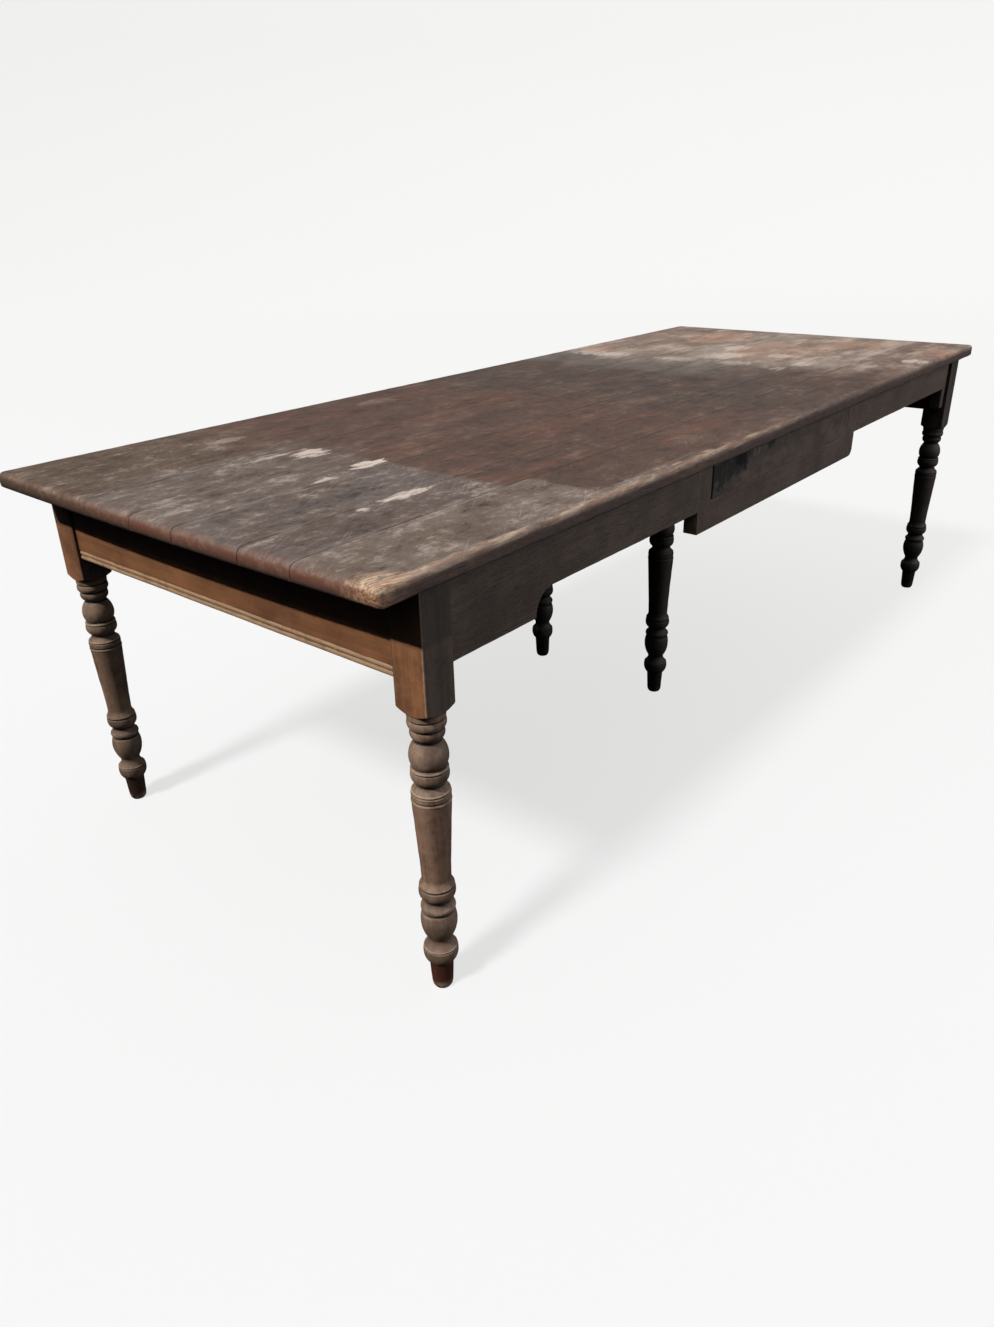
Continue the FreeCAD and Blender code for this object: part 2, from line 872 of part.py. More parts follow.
def make_drawer():
    floor_reach = side_inner_x + size.drawer_groove
    floor_spans = [
        (-floor_reach, floor_reach),
        (drawer_shoulder_y - size.drawer_groove, drawer_end_y),
        (floor_bottom, floor_top),
    ]
    back_reach = side_inner_x + size.drawer_housing
    back_face = drawer_end_y - size.drawer_back_inset
    back_spans = [
        (-back_reach, back_reach),
        (back_face - size.drawer_back_thickness, back_face),
        (floor_top, side_top - size.drawer_back_drop),
    ]
    front = box(
        "drawer_front_board",
        (-drawer_half, drawer_half),
        (drawer_face_y, drawer_shoulder_y),
        (sill_top + size.drawer_gap, frame_top - size.drawer_gap),
    )
    sockets = [box("drawer_front_groove", *roomy(floor_spans))]
    for end_name, end in ENDS.items():
        low, _ = signed(end, side_inner_x - size.joint_clearance, drawer_half + size.overrun)
        width = size.drawer_side_thickness + size.joint_clearance + size.overrun
        for count, level in enumerate(tail_levels(), start=1):
            name = f"drawer_socket_{end_name}_{count}"
            sockets.append(shaped(name, "YZ_Plane", tail_socket_outline(level), width, low, 0, 0))
    finished("drawer_front", front, (), sockets)
    for end_name, end in ENDS.items():
        name = f"drawer_side_{end_name}"
        low, _ = signed(end, side_inner_x, drawer_half)
        board = shaped(
            f"{name}_board", "YZ_Plane", drawer_side_outline(), size.drawer_side_thickness, low, 0, 0
        )
        housings = [
            box(f"{name}_groove", *roomy(floor_spans)),
            box(f"{name}_housing", *roomy(back_spans)),
        ]
        finished(name, board, (), housings)
    finished("drawer_back", box("drawer_back_board", *back_spans))
    finished("drawer_bottom", box("drawer_bottom_panel", *floor_spans))


# Battens under the planks and buttons along the frame

def make_top_fixings():
    for end_name, end in ENDS.items():
        name = f"top_batten_{end_name}"
        batten = box(
            f"{name}_board",
            around(leg_inner_x * BATTEN_SHARE * end, size.batten_width),
            (size.batten_end_gap - apron_inner_y, apron_inner_y - size.batten_end_gap),
            (frame_top - size.batten_thickness, frame_top),
        )
        finished(name, batten)
    solids = []
    for key, (block, tongue) in buttons.items():
        name = "_".join(("button", *key))
        solids.append(union(name, [box(f"{name}_block", *block), box(f"{name}_tongue", *tongue)]))
    group("top_buttons", solids)


make_top()
make_legs()
make_front_aprons()
make_back_apron()
make_end_rails()
make_drawer_section()
make_drawer_carriers()
make_drawer()
make_top_fixings()
doc.recompute()

for thing in doc.Objects:
    if "Invalid" in thing.State or "Error" in thing.State:
        raise RuntimeError(f"{thing.Label} did not build: {thing.State}")
for piece in nodes:
    if piece.Shape.isNull() or not piece.Shape.isValid():
        raise RuntimeError(f"{piece.Label} has no valid shape")

os.makedirs("parts", exist_ok=True)
for piece in nodes:
    piece.Shape.exportStep(f"parts/{piece.Label}.step")
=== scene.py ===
"""Looks of a worn refectory table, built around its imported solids. Lengths are in metres."""
import math

import bpy
import numpy as np
from mathutils import Matrix, Vector


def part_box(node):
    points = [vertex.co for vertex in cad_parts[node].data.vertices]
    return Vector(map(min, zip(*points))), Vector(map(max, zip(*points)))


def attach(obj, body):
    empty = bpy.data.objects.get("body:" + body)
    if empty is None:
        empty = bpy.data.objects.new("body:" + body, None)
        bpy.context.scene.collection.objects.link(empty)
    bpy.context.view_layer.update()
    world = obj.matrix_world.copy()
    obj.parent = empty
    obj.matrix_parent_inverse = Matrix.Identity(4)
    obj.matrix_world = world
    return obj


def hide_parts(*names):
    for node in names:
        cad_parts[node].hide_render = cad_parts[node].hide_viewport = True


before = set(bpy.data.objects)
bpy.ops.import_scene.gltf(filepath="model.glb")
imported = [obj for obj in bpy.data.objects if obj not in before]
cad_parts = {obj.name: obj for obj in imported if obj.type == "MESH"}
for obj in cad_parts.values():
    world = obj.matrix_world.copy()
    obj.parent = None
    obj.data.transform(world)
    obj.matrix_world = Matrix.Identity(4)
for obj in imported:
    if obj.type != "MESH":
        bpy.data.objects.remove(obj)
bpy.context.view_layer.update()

MM = 0.001
AXES = "XYZ"

# Main sizes. The near end of the table and the drawer side are at the low ends of X and Y.
HALF_LENGTH = 1.28
HALF_WIDTH = 0.518
TOP_FACE = 0.775
TOP_UNDERSIDE = 0.743
LEG_X, LEG_Y = 1.163, 0.474
BLOCK_HALF = 0.032
APRON_FACES = (-0.497, -0.467)
DEEP_BOTTOM = 0.605
SECTION_HALF = 0.400
OPENING_HALF = 0.350
SILL_TOP = 0.665

# Camera of the photograph: place, turns in degrees, and the lens for the image's long side, both in mm
CAMERA_PLACE = (-2.0567, -1.3697, 1.2181)
CAMERA_TURNS = (-49.808, -25.797, -1.519)
CAMERA_LENS = 26.126
CAMERA_SENSOR = 36

# Members of the turning from the floor up, in mm: way of cutting, then height and radius at a bead's crown or
# a groove's bottom, then height and radius at the member's upper end. A taper or cove has only the last two.
TURNED_MEMBERS = (
    ("taper", 4, 17.0),
    ("taper", 10, 18.2),
    ("taper", 56, 20.6),
    ("bead", 77, 30.0, 84.6, 29.6),
    ("groove", 86.4, 26.8, 88.4, 28.8),
    ("cove", 104, 20.0),
    ("taper", 108, 20.5),
    ("bead", 143, 31.0, 160.4, 28.4),
    ("groove", 163.6, 23.0, 167, 28.2),
    ("bead", 171, 29.6, 175, 28.8),
    ("cove", 187.5, 22.2),
    ("bead", 203, 31.0, 210.2, 30.4),
    ("groove", 212.2, 27.4, 214.2, 29.4),
    ("bead", 215.6, 29.7, 217.2, 29.2),
    ("cove", 230, 24.6),
    ("taper", 262, 25.6),
    ("taper", 378.6, 32.1),
    ("bead", 380.6, 32.8, 382.4, 32.2),
    ("groove", 384.4, 29.0, 386.4, 32.0),
    ("taper", 393.4, 32.3),
    ("groove", 395.4, 29.2, 397.2, 31.6),
    ("taper", 398.6, 31.2),
    ("cove", 412, 22.6),
    ("bead", 426.5, 31.2, 433.4, 30.5),
    ("groove", 435.0, 28.4, 436.6, 30.2),
    ("bead", 437.8, 30.4, 440.4, 28.8),
    ("groove", 442.2, 24.4, 444, 27.6),
    ("bead", 459, 31.6, 486, 21.4),
    ("taper", 489, 21.0),
    ("bead", 500.5, 27.8, 505.4, 27.0),
    ("groove", 508, 22.8, 510.4, 28.4),
    ("bead", 517.5, 30.9, 523.4, 30.0),
    ("groove", 525.4, 26.8, 527.4, 30.2),
    ("taper", 537, 30.8),
)
FOOT_TOE = 14.4
TURNING_HEIGHT = TURNED_MEMBERS[-1][-2] * MM

# Lines on the top where an old cover ended: near end, far end, drawer side
COVER_NEAR = -0.811
COVER_NEAR_FRONT_PLANK = -0.749
COVER_FAR = 0.54
COVER_FRONT = -0.491

# The corner by the drawer side that is worn to bare wood, and how fast the wear fades along both edges
WORN_CORNER = (-1.270, -0.505)
CORNER_FALL = 11.0

# Where an end's rounded rim begins, and the heights between which painted shade darkens the nose below it
END_RIM_FROM = 1.255
NOSE_PAINTED_SHADE = (0.747, 0.763)

# How far beyond a joint a patch may lie and still touch the plank
PATCH_REACH = 0.12

# Patches worn to bare wood: middle along and across the top, half length, half width, strength
BARE_PATCHES = (
    (-0.845, 0.121, 0.038, 0.032, 0.85),
    (-0.915, 0.160, 0.060, 0.010, 0.6),
    (-0.838, -0.038, 0.040, 0.021, 1.0),
    (-0.964, -0.058, 0.026, 0.013, 0.8),
    (-0.938, -0.240, 0.060, 0.015, 1.0),
    (-1.051, -0.248, 0.012, 0.010, 0.9),
    (-0.871, 0.354, 0.040, 0.020, 0.25),
    (-0.930, 0.330, 0.030, 0.014, 0.12),
    (0.552, 0.380, 0.045, 0.090, 0.55),
    (0.572, 0.121, 0.040, 0.060, 0.35),
    (0.692, 0.028, 0.080, 0.050, 0.60),
    (0.851, 0.068, 0.060, 0.040, 0.55),
    (0.765, -0.118, 0.035, 0.030, 0.55),
    (0.585, -0.060, 0.040, 0.050, 0.35),
    (0.552, -0.211, 0.030, 0.020, 0.40),
    (0.658, -0.228, 0.045, 0.016, 0.50),
    (0.855, -0.480, 0.035, 0.035, 0.6),
    (-0.399, 0.400, 0.060, 0.030, 0.12),
)

# Rosy or tan clouds in the stain: middle, half length, half width, strength
TAN_CLOUDS = (
    (1.064, -0.225, 0.130, 0.090, 0.7),
    (1.037, 0.227, 0.140, 0.100, 0.8),
    (1.050, -0.470, 0.080, 0.060, 0.8),
    (0.600, 0.420, 0.060, 0.060, 0.9),
    (0.860, -0.060, 0.200, 0.160, 0.5),
)

# Marks on the drawer front: middle along and up, half length, half height, strength
SPILL = ((-0.280, 0.708, 0.085, 0.036, 0.95), (-0.235, 0.726, 0.060, 0.024, 0.95))
BLACK_RUN = (
    (-0.222, 0.728, 0.030, 0.016, 0.95),
    (-0.205, 0.714, 0.010, 0.026, 0.9),
    (-0.085, 0.732, 0.022, 0.016, 0.9),
)
SCRAPES = ((-0.155, 0.727, 0.030, 0.014, 0.7),)


def light_of(colour):
    """The light values that a shader takes, for a colour given as three numbers from 0 to 255 on a screen.
    A value, or a colour that is light already, stays as it is."""
    if isinstance(colour, Value) or len(colour) > 3:
        return colour
    share = np.array(colour) / 255
    light = np.where(share <= 0.04045, share / 12.92, ((share + 0.055) / 1.055) ** 2.4)
    return (*light.tolist(), 1.0)


class Value:
    """An output socket. Arithmetic on it adds Math nodes to its tree, and node() adds any other node."""

    def __init__(self, socket):
        self.socket = socket

    def node(self, kind, settings=None, sockets=None, out=0):
        """Adds a node: its settings first, then a link or a value for each socket, by name or place."""
        tree = self.socket.id_data
        made = tree.nodes.new(kind)
        for key, setting in (settings or {}).items():
            setattr(made, key, setting)
        for key, given in (sockets or {}).items():
            if isinstance(given, Value):
                tree.links.new(given.socket, made.inputs[key])
            else:
                made.inputs[key].default_value = given
        return Value(made.outputs[out]) if made.outputs else None

    def math(self, operation, first, second):
        return self.node("ShaderNodeMath", {"operation": operation}, {0: first, 1: second})

    def __add__(self, other):
        return self.math("ADD", self, other)

    def __radd__(self, other):
        return self.math("ADD", other, self)

    def __sub__(self, other):
        return self.math("SUBTRACT", self, other)

    def __rsub__(self, other):
        return self.math("SUBTRACT", other, self)

    def __mul__(self, other):
        return self.math("MULTIPLY", self, other)

    def __rmul__(self, other):
        return self.math("MULTIPLY", other, self)

    def larger(self, other):
        return self.math("MAXIMUM", self, other)

    def wave(self):
        """The sine of the value, moved into the range from 0 to 1."""
        return self.math("SINE", self, 0.0) * 0.5 + 0.5

    def step(self, low, high):
        """0 below low, 1 above high, and a smooth rise between."""
        sockets = {"Value": self, "From Min": low, "From Max": high}
        return self.node("ShaderNodeMapRange", {"interpolation_type": "SMOOTHSTEP"}, sockets)

    def noise(self, lengths, detail=3.0, roughness=0.55, distortion=0.0):
        """Random clouds whose size along each axis is one of the lengths, from 0 to 1 with a mean of a half."""
        scale = tuple(1 / length for length in lengths)
        spread = self.node("ShaderNodeVectorMath", {"operation": "MULTIPLY"}, {0: self, 1: scale})
        sockets = {"Vector": spread, "Scale": 1.0, "Detail": detail, "Roughness": roughness}
        sockets["Distortion"] = distortion
        return spread.node("ShaderNodeTexNoise", {}, sockets)

    def turned(self, angle, place=(0.0, 0.0, 0.0)):
        """The coordinates turned by three angles in degrees and then moved."""
        turn = tuple(math.radians(part) for part in angle)
        return self.node("ShaderNodeMapping", {}, {"Vector": self, "Rotation": turn, "Location": place})

    def moved(self, along, across):
        """The coordinates moved along X and Y, for another stretch of a noise."""
        return self.turned((0, 0, 0), (along, across, 0))

    def part(self, axis):
        return self.node("ShaderNodeSeparateXYZ", {}, {0: self}, AXES.index(axis))

    def attribute(self, name):
        return self.node("ShaderNodeAttribute", {"attribute_name": name}, {}, "Fac")

    def blend(self, under, over):
        """The colour under where this value is 0 and the colour over where it is 1."""
        sockets = {0: self, 6: light_of(under), 7: light_of(over)}
        return self.node("ShaderNodeMix", {"data_type": "RGBA", "clamp_factor": True}, sockets, 2)


def open_material(name):
    """A new material with one Texture Coordinate node, and its Object coordinates."""
    material = bpy.data.materials.new(name)
    material.use_nodes = True
    tree = material.node_tree
    tree.nodes.clear()
    return material, Value(tree.nodes.new("ShaderNodeTexCoord").outputs["Object"])


def close_material(material, colour, roughness, height, depth):
    """Joins a colour, a roughness and a height for the bump to one surface shader."""
    bump = height.node("ShaderNodeBump", {}, {"Height": height, "Distance": depth, "Strength": 1.0}, "Normal")
    sockets = {"Base Color": colour, "Roughness": roughness, "Normal": bump}
    surface = colour.node("ShaderNodeBsdfPrincipled", {}, sockets)
    surface.node("ShaderNodeOutputMaterial", {}, {"Surface": surface})
    return material


# Shadow of the top's overhang painted on rails and blocks: where it begins, its half blend, its share, its
# colour
PAINTED_SHADOW_FROM = 0.653
PAINTED_SHADOW_BLEND = 0.005
PAINTED_SHADOW_SHARE = 0.62
PAINTED_SHADOW_COLOUR = (24, 21, 19)

# Turns that bring the grain's direction to the first axis
GRAIN_TURNS = {"X": (0, 0, 0), "Y": (0, 0, -90), "Z": (0, 90, 0)}


def grain_parts(spot, axis, seed):
    """The marks of a board: broad streaks, figure, fibres and pores along the grain, each from 0 to 1.
    The figure is the sine of a long soft noise, whose level lines are the arches of flat-sawn wood."""
    along = spot.turned(GRAIN_TURNS[axis], (seed * 1.713, seed * 0.617, seed * 0.371))
    streak = along.noise((0.55, 0.018, 0.018), 4.0, 0.6)
    figure = (along.noise((0.9, 0.055, 0.055), 2.0, 0.45, 0.3) * 70.0).wave()
    fibre = along.noise((0.06, 0.0015, 0.0015), 3.0, 0.65)
    pore = along.noise((0.022, 0.0008, 0.0008), 2.0, 0.5).step(0.60, 0.72)
    return streak, figure, fibre, pore


def tone_of(*weighed):
    """The sum of several noises about their means, each times its weight, moved to a mean of a half."""
    total = 0.5
    for noise, weight in weighed:
        total = (noise - 0.5) * weight + total
    return total


def layered(colour, *layers):
    """A colour with others laid over it in turn, each given as its share and its colour."""
    for share, over in layers:
        colour = share.blend(colour, over)
    return colour


def painted_shadow_under_overhang(spot):
    """Rises from 0 to its full share over a short height: the painted shadow of the top's overhang."""
    low, high = PAINTED_SHADOW_FROM - PAINTED_SHADOW_BLEND, PAINTED_SHADOW_FROM + PAINTED_SHADOW_BLEND
    return spot.part("Z").step(low, high) * PAINTED_SHADOW_SHARE


def wood(name, axis, seed, tones, gloss=0.5, streaks=1.0, rubbed=0.6, black_before=None,
         with_overhang_shadow=False, bare_before=None):
    """Stained board of three tones: dark and light along the grain, in clouds, and worn where edges are rubbed.
    The edges come from the piece's own attribute, which is 0 where it has none. A board given a black front end
    is black before that place, and one given a lighter end is lightened before its own, as painted light from
    the floor. One given the overhang's shadow has that shadow painted under the top's overhang."""
    dark, light, worn = tones
    material, spot = open_material(name)
    streak, figure, fibre, pore = grain_parts(spot, axis, seed)
    cloud = spot.noise((0.16, 0.12, 0.12), 5.0, 0.6)
    blot = spot.noise((0.025, 0.025, 0.025), 4.0, 0.65)
    tone = tone_of(
        (streak, 1.3 * streaks), (figure, 0.16 * streaks), (fibre, 0.7), (cloud, 1.3), (blot, 0.5)
    )
    colour = tone.step(0.1, 0.9).blend(dark, light)
    colour = (pore * 0.35).blend(colour, (20, 14, 11))
    edge = (spot.attribute("edge") + (blot - 0.5) * 1.1).step(0.45, 0.95)
    colour = (edge * rubbed).blend(colour, worn)
    if black_before is not None:
        # the front end is black before this place
        blackened = 1.0 - spot.part("Y").step(black_before - 0.002, black_before + 0.004)
        colour = blackened.blend(colour, (8, 7, 6))
    if bare_before is not None:
        # painted light: the end before this place is lightened, standing in for light thrown up from the floor
        bare = 1.0 - spot.part("X").step(bare_before, bare_before + 0.0006)
        colour = (bare * (0.75 + blot * 0.3)).blend(colour, (128, 122, 98))
    # painted shadow of the top's overhang
    if with_overhang_shadow:
        colour = painted_shadow_under_overhang(spot).blend(colour, PAINTED_SHADOW_COLOUR)
    rough = 0.70 - gloss * 0.45 + cloud * 0.25 - edge * 0.08
    height = fibre * 0.5 + figure * 0.12 - pore * 0.6 + blot * 0.35
    return close_material(material, colour, rough, height, 0.0006)


def clouded(spot, patches, ragged, axes="XY", spread=3.2):
    """The strongest of several ragged ellipses. Each is 1 minus its squared distance, moved by a noise."""
    first, second = spot.part(axes[0]), spot.part(axes[1])
    total = None
    for middle_a, middle_b, half_a, half_b, strength in patches:
        off_a = (first - middle_a) * (1 / half_a)
        off_b = (second - middle_b) * (1 / half_b)
        field = 1.0 - (off_a * off_a + off_b * off_b) * 0.5 + (ragged - 0.5) * spread
        mask = field.step(0.35, 0.85) * strength
        total = mask if total is None else total.larger(mask)
    return total


def near_plank(patches, front, back):
    """The patches that may touch a plank between two joint lines."""
    return [patch for patch in patches if front - PATCH_REACH < patch[1] < back + PATCH_REACH]


def top_wood(number, front, back, near_line, colours):
    """One plank of the top. Inside the old cover's lines the stain is brown and whole, and outside it is worn.
    The cover's near line is sharp on the drawer side and blurred towards the back, and its far line is hazy.
    Over that lie mottling of several sizes, drying cracks, scratches, tan clouds, bare patches, dusty joints
    and rubbed edges. The lower part of the side is darkened with painted shade. The underside is bare wood."""
    near_colour, far_colour = colours
    material, spot = open_material(f"top_plank_{number}_stain")
    streak, figure, fibre, pore = grain_parts(spot, "X", 3.1 + number)
    along, across = spot.part("X"), spot.part("Y")
    cloud = spot.noise((0.30, 0.12, 0.12), 5.0, 0.62)
    mottle = spot.noise((0.085, 0.060, 0.05), 6.0, 0.66)
    blot = spot.noise((0.024, 0.016, 0.02), 5.0, 0.66)
    fleck = spot.noise((0.009, 0.006, 0.006), 4.0, 0.60)
    wobble = spot.noise((0.05, 0.03, 0.03), 3.0, 0.6) - 0.5

    # where the old cover lay
    sharp_near = (along + wobble * 0.020).step(near_line - 0.010, near_line + 0.010)
    faded_near = (along + (cloud - 0.5) * 0.60).step(near_line - 0.24, near_line + 0.14)
    inside_near = (across + (cloud - 0.5) * 0.20).step(-0.08, 0.12).blend(sharp_near, faded_near)
    haze = across.step(-0.45, 0.30) * 0.10
    ragged_far = along + haze + wobble * 0.12 + (cloud - 0.5) * 0.30
    beyond_far = ragged_far.step(COVER_FAR - 0.03, COVER_FAR + 0.17)
    inside_front = (across + wobble * 0.020).step(COVER_FRONT - 0.006, COVER_FRONT + 0.006)
    inside_front = inside_front.larger((along + wobble * 0.4).step(-0.56, -0.34) * 0.95)
    cover = inside_near * inside_front * (1.0 - beyond_far)
    open_stain = 1.0 - cover

    # stain inside and outside the cover, with redder, browner and greyer clouds, and its mottling
    redder = spot.moved(9.1, 5.3).noise((0.40, 0.08, 0.08), 4.0, 0.62).step(0.46, 0.62)
    off_middle = (along - 0.22) * 2.2
    grey = (1.0 - off_middle * off_middle).step(0.0, 1.0) * (0.45 + cloud.step(0.35, 0.65) * 0.55)
    covered = layered(
        (redder * (0.50 + (1.0 - across.step(-0.40, 0.0)) * 0.35)).blend(COVER_BROWN, COVER_RED),
        ((cloud - 0.5).step(0.0, 0.22) * 0.40, (104, 80, 68)),
        ((0.5 - cloud).step(0.0, 0.22) * 0.26, (52, 42, 37)),
        (grey * 0.8, COVER_GREY),
    )
    near_stain = (across + (cloud - 0.5) * 0.45).step(0.10, 0.28).blend(near_colour, NEAR_BROWN)
    brown = spot.moved(3.7, 1.9).noise((0.22, 0.10, 0.1), 5.0, 0.62).step(0.44, 0.60)
    off_line = (along + (cloud - 0.5) * 0.25 - 0.47) * 5.5
    hazy = (1.0 - off_line * off_line).step(0.0, 1.0) * across.step(-0.30, 0.05)
    tone = tone_of(
        (streak, 0.45), (figure, 0.05), (fibre, 0.35), (mottle, 1.5), (blot, 0.9), (fleck, 0.6)
    ) - 0.5
    pale = open_stain.blend((164, 138, 120), (172, 160, 150))
    colour = layered(
        beyond_far.blend(near_stain, far_colour),
        (brown * open_stain * 0.45, OPEN_BROWN),
        (cover, covered),
        (hazy * 0.60, (110, 103, 97)),
        ((0.0 - tone).step(0.0, 0.45) * (0.75 - cover * 0.15 - beyond_far * 0.25), (30, 22, 19)),
        (tone.step(0.0, 0.50) * (0.26 + 0.40 * open_stain), pale),
    )

    # drying cracks along the grain, blotches beyond the far line, rubbing marks
    crack = spot.moved(1.3 + number, 7.7).noise((0.55, 0.0045, 0.01), 3.0, 0.55).step(0.61, 0.70)
    rosy = spot.moved(5.9, 2.3).noise((0.24, 0.09, 0.09), 4.0, 0.58).step(0.44, 0.62)
    blotch = spot.noise((0.17, 0.09, 0.06), 5.0, 0.60).step(0.48, 0.66)
    scuff = spot.turned((0, 0, 24)).noise((0.045, 0.010, 0.02), 5.0, 0.65).step(0.60, 0.74)
    scratch = spot.turned((0, 0, -33)).noise((0.16, 0.0018, 0.02), 2.0, 0.5).step(0.67, 0.73)
    hair = spot.turned((0, 0, 62)).noise((0.14, 0.0016, 0.02), 2.0, 0.5).step(0.68, 0.74)
    chip = fleck.step(0.66, 0.74) * mottle.step(0.48, 0.60)
    marks = (scuff * 0.26 + scratch * 0.34 + hair * 0.28 + chip * 0.55) * (1.0 - cover * 0.70)

    # tan clouds, bare patches, dust beside the joints in places and dirt in them
    tan = clouded(spot, near_plank(TAN_CLOUDS, front, back), mottle)
    ragged = spot.noise((0.042, 0.012, 0.02), 7.0, 0.75)
    bare = clouded(spot, near_plank(BARE_PATCHES, front, back), ragged, spread=3.9)
    lodged = spot.noise((0.07, 0.02, 0.02), 4.0, 0.65).step(0.47, 0.63)
    packed = spot.moved(0.6 * number, 3.1).noise((0.16, 0.05, 0.05), 3.0, 0.6).step(0.40, 0.58)
    cleaned = spot.attribute("side").larger(cover * 0.50).larger(beyond_far * 0.50) * 0.8
    soil = spot.attribute("joint") * (0.20 + blot * 0.3 + packed * 0.5) * (1.0 - cleaned)
    colour = layered(
        colour,
        (crack * 0.50, (38, 29, 25)),
        (rosy * beyond_far * 0.45, (122, 102, 90)),
        (blotch * beyond_far * 0.42, (190, 176, 162)),
        (marks, (184, 174, 164)),
        (tan * 0.42, (178, 132, 106)),
        (bare * (0.80 + blot * 0.35), (196, 182, 171)),
        (spot.attribute("dust") * lodged * open_stain * 0.40, (178, 170, 162)),
        (soil, (18, 12, 10)),
    )

    # rubbed rim, worn corner, the side below the rim with painted shade on its lower part, the underside
    rub = spot.noise((0.030, 0.014, 0.012), 5.0, 0.66)
    frayed = spot.noise((0.075, 0.012, 0.012), 6.0, 0.68)
    wear = spot.noise((0.20, 0.06, 0.06), 3.0, 0.6)
    torn = spot.turned((0, 0, 12)).noise((0.030, 0.0035, 0.004), 4.0, 0.62).step(0.40, 0.62)
    to_end = 1.0 - (along - WORN_CORNER[0]) * CORNER_FALL
    to_front = 1.0 - (across - WORN_CORNER[1]) * CORNER_FALL
    corner = to_end.step(0.15, 1.0) * to_front.step(0.15, 1.0)
    worn = frayed * 2.2 + wear * 1.6 - 1.90
    edge = spot.attribute("edge")
    spared = along.step(-0.45, 0.25) * 0.88
    rim = (edge + worn).step(0.15, 0.80) * edge.step(0.04, 0.30) * (1.0 - spared)
    end_rim = (along.larger(along * -1.0) - END_RIM_FROM).step(-0.006, 0.012)
    front_rubbed = frayed.step(0.46, 0.62).blend((146, 116, 99), (192, 170, 150))
    end_rubbed = rub.step(0.42, 0.58).blend((96, 54, 43), (126, 94, 78))
    corner_wood = torn.blend((150, 110, 82), (226, 200, 172))
    rubbed = layered(end_rim.blend(front_rubbed, end_rubbed), (corner * (0.35 + rub * 0.9), corner_wood))
    reddish = (across * -1.0).step(-0.42, 0.05).blend((78, 59, 47), (104, 64, 48))
    # painted shade: the lower part of the side and nose, which faces down, is darkened
    lower = (1.0 - spot.part("Z").step(*NOSE_PAINTED_SHADE)) * (0.50 + end_rim * 0.35 - corner * 0.25)
    corner_side = torn.blend((112, 76, 52), (206, 164, 126))
    side = layered(
        end_rim.blend((82, 63, 57), reddish),
        ((rub + wear * 0.5 - 0.25).step(0.48, 0.66) * 0.34, (142, 108, 90)),
        (lower, (28, 21, 18)),
        (corner * (0.15 + rub * 0.8) * (0.30 + end_rim * 0.70), corner_side),
    )
    raw = tone_of((streak, 1.6), (figure, 0.35), (mottle, 0.8)).step(0.1, 0.9)
    colour = layered(
        colour,
        (corner.step(0.10, 0.70) * rub.step(0.42, 0.56) * 0.60, corner_wood),
        (rim * (0.68 - end_rim * 0.28 + corner * 0.30), rubbed),
        (spot.attribute("side") * 0.92, side),
        (spot.attribute("under").step(0.4, 0.6), raw.blend(UNDER_DARK, UNDER_LIGHT)),
    )

    rough = 0.42 + cloud * 0.14 + blot * 0.18 + open_stain * 0.10 + bare * 0.15
    height = fibre * 0.45 + figure * 0.10 - pore * 0.5 + blot * 0.5 + fleck * 0.3
    height = height - scratch * 0.25 - bare * 0.3
    return close_material(material, colour, rough, height, 0.0007)


def leg_wood(name, seed, block_tones, dark, light, worn, red, foot):
    """Turned wood: upright grain, dirt and painted shade in the hollows, rubbed crowns, a redder shaft and foot,
    a darker part below the shaft, and a bare toe. The square block above has the stain of the rail on its end
    faces and of the apron on the others, and has the top's overhang's shadow painted on it."""
    material, spot = open_material(name)
    streak, figure, fibre, pore = grain_parts(spot, "Z", seed)
    height = spot.part("Z")
    cloud = spot.noise((0.06, 0.06, 0.08), 5.0, 0.62)
    dust = spot.noise((0.012, 0.012, 0.012), 4.0, 0.65)
    tone = tone_of((streak, 0.8), (figure, 0.08), (fibre, 0.5), (cloud, 1.6), (dust, 0.7)).step(0.1, 0.9)
    shaft = height.step(0.225, 0.235) * (1.0 - height.step(0.376, 0.380))
    lower = 1.0 - height.step(0.212, 0.228)
    ball = height.step(0.442, 0.452) * (1.0 - height.step(0.468, 0.480))
    low = 1.0 - (height + (cloud - 0.5) * 0.010).step(0.052, 0.058)
    toe = (1.0 - (height + (dust - 0.5) * 0.016).step(0.008, 0.022)) * dust.step(0.42, 0.60)
    edge = (spot.attribute("edge") + (dust - 0.5) * 0.8).step(0.35, 0.95)
    # dirt together with painted shade in the hollows of the turning
    soil = (spot.attribute("hollow") + (dust - 0.5) * 0.4).step(0.10, 0.65)
    side = spot.attribute("drawer_side").step(0.4, 0.6)
    end_dark, end_light, side_dark, side_light, block_worn = block_tones
    block = layered(
        side.blend(tone.blend(end_dark, end_light), tone.blend(side_dark, side_light)),
        (edge * 0.55, block_worn),
        # painted shadow of the top's overhang on the block
        (painted_shadow_under_overhang(spot) * (1.0 - side * 0.3), PAINTED_SHADOW_COLOUR),
    )
    colour = layered(
        tone.blend(dark, light),
        (shaft * (0.05 + 0.45 * cloud), red),
        (lower * 0.42, dark),
        (ball * 0.10, worn),
        (pore * 0.3, (24, 17, 13)),
        (low * 0.92, foot),
        (toe * 0.6, worn),
        (edge * 0.65 * (1.0 - low * 0.6), worn),
        (soil * 0.92, (14, 10, 9)),
        (height.step(TURNING_HEIGHT - 0.0005, TURNING_HEIGHT + 0.0005), block),
    )
    rough = 0.56 + cloud * 0.2 + soil * 0.15 - low * 0.2
    relief = fibre * 0.5 - pore * 0.5 + dust * 0.35
    return close_material(material, colour, rough, relief, 0.0005)


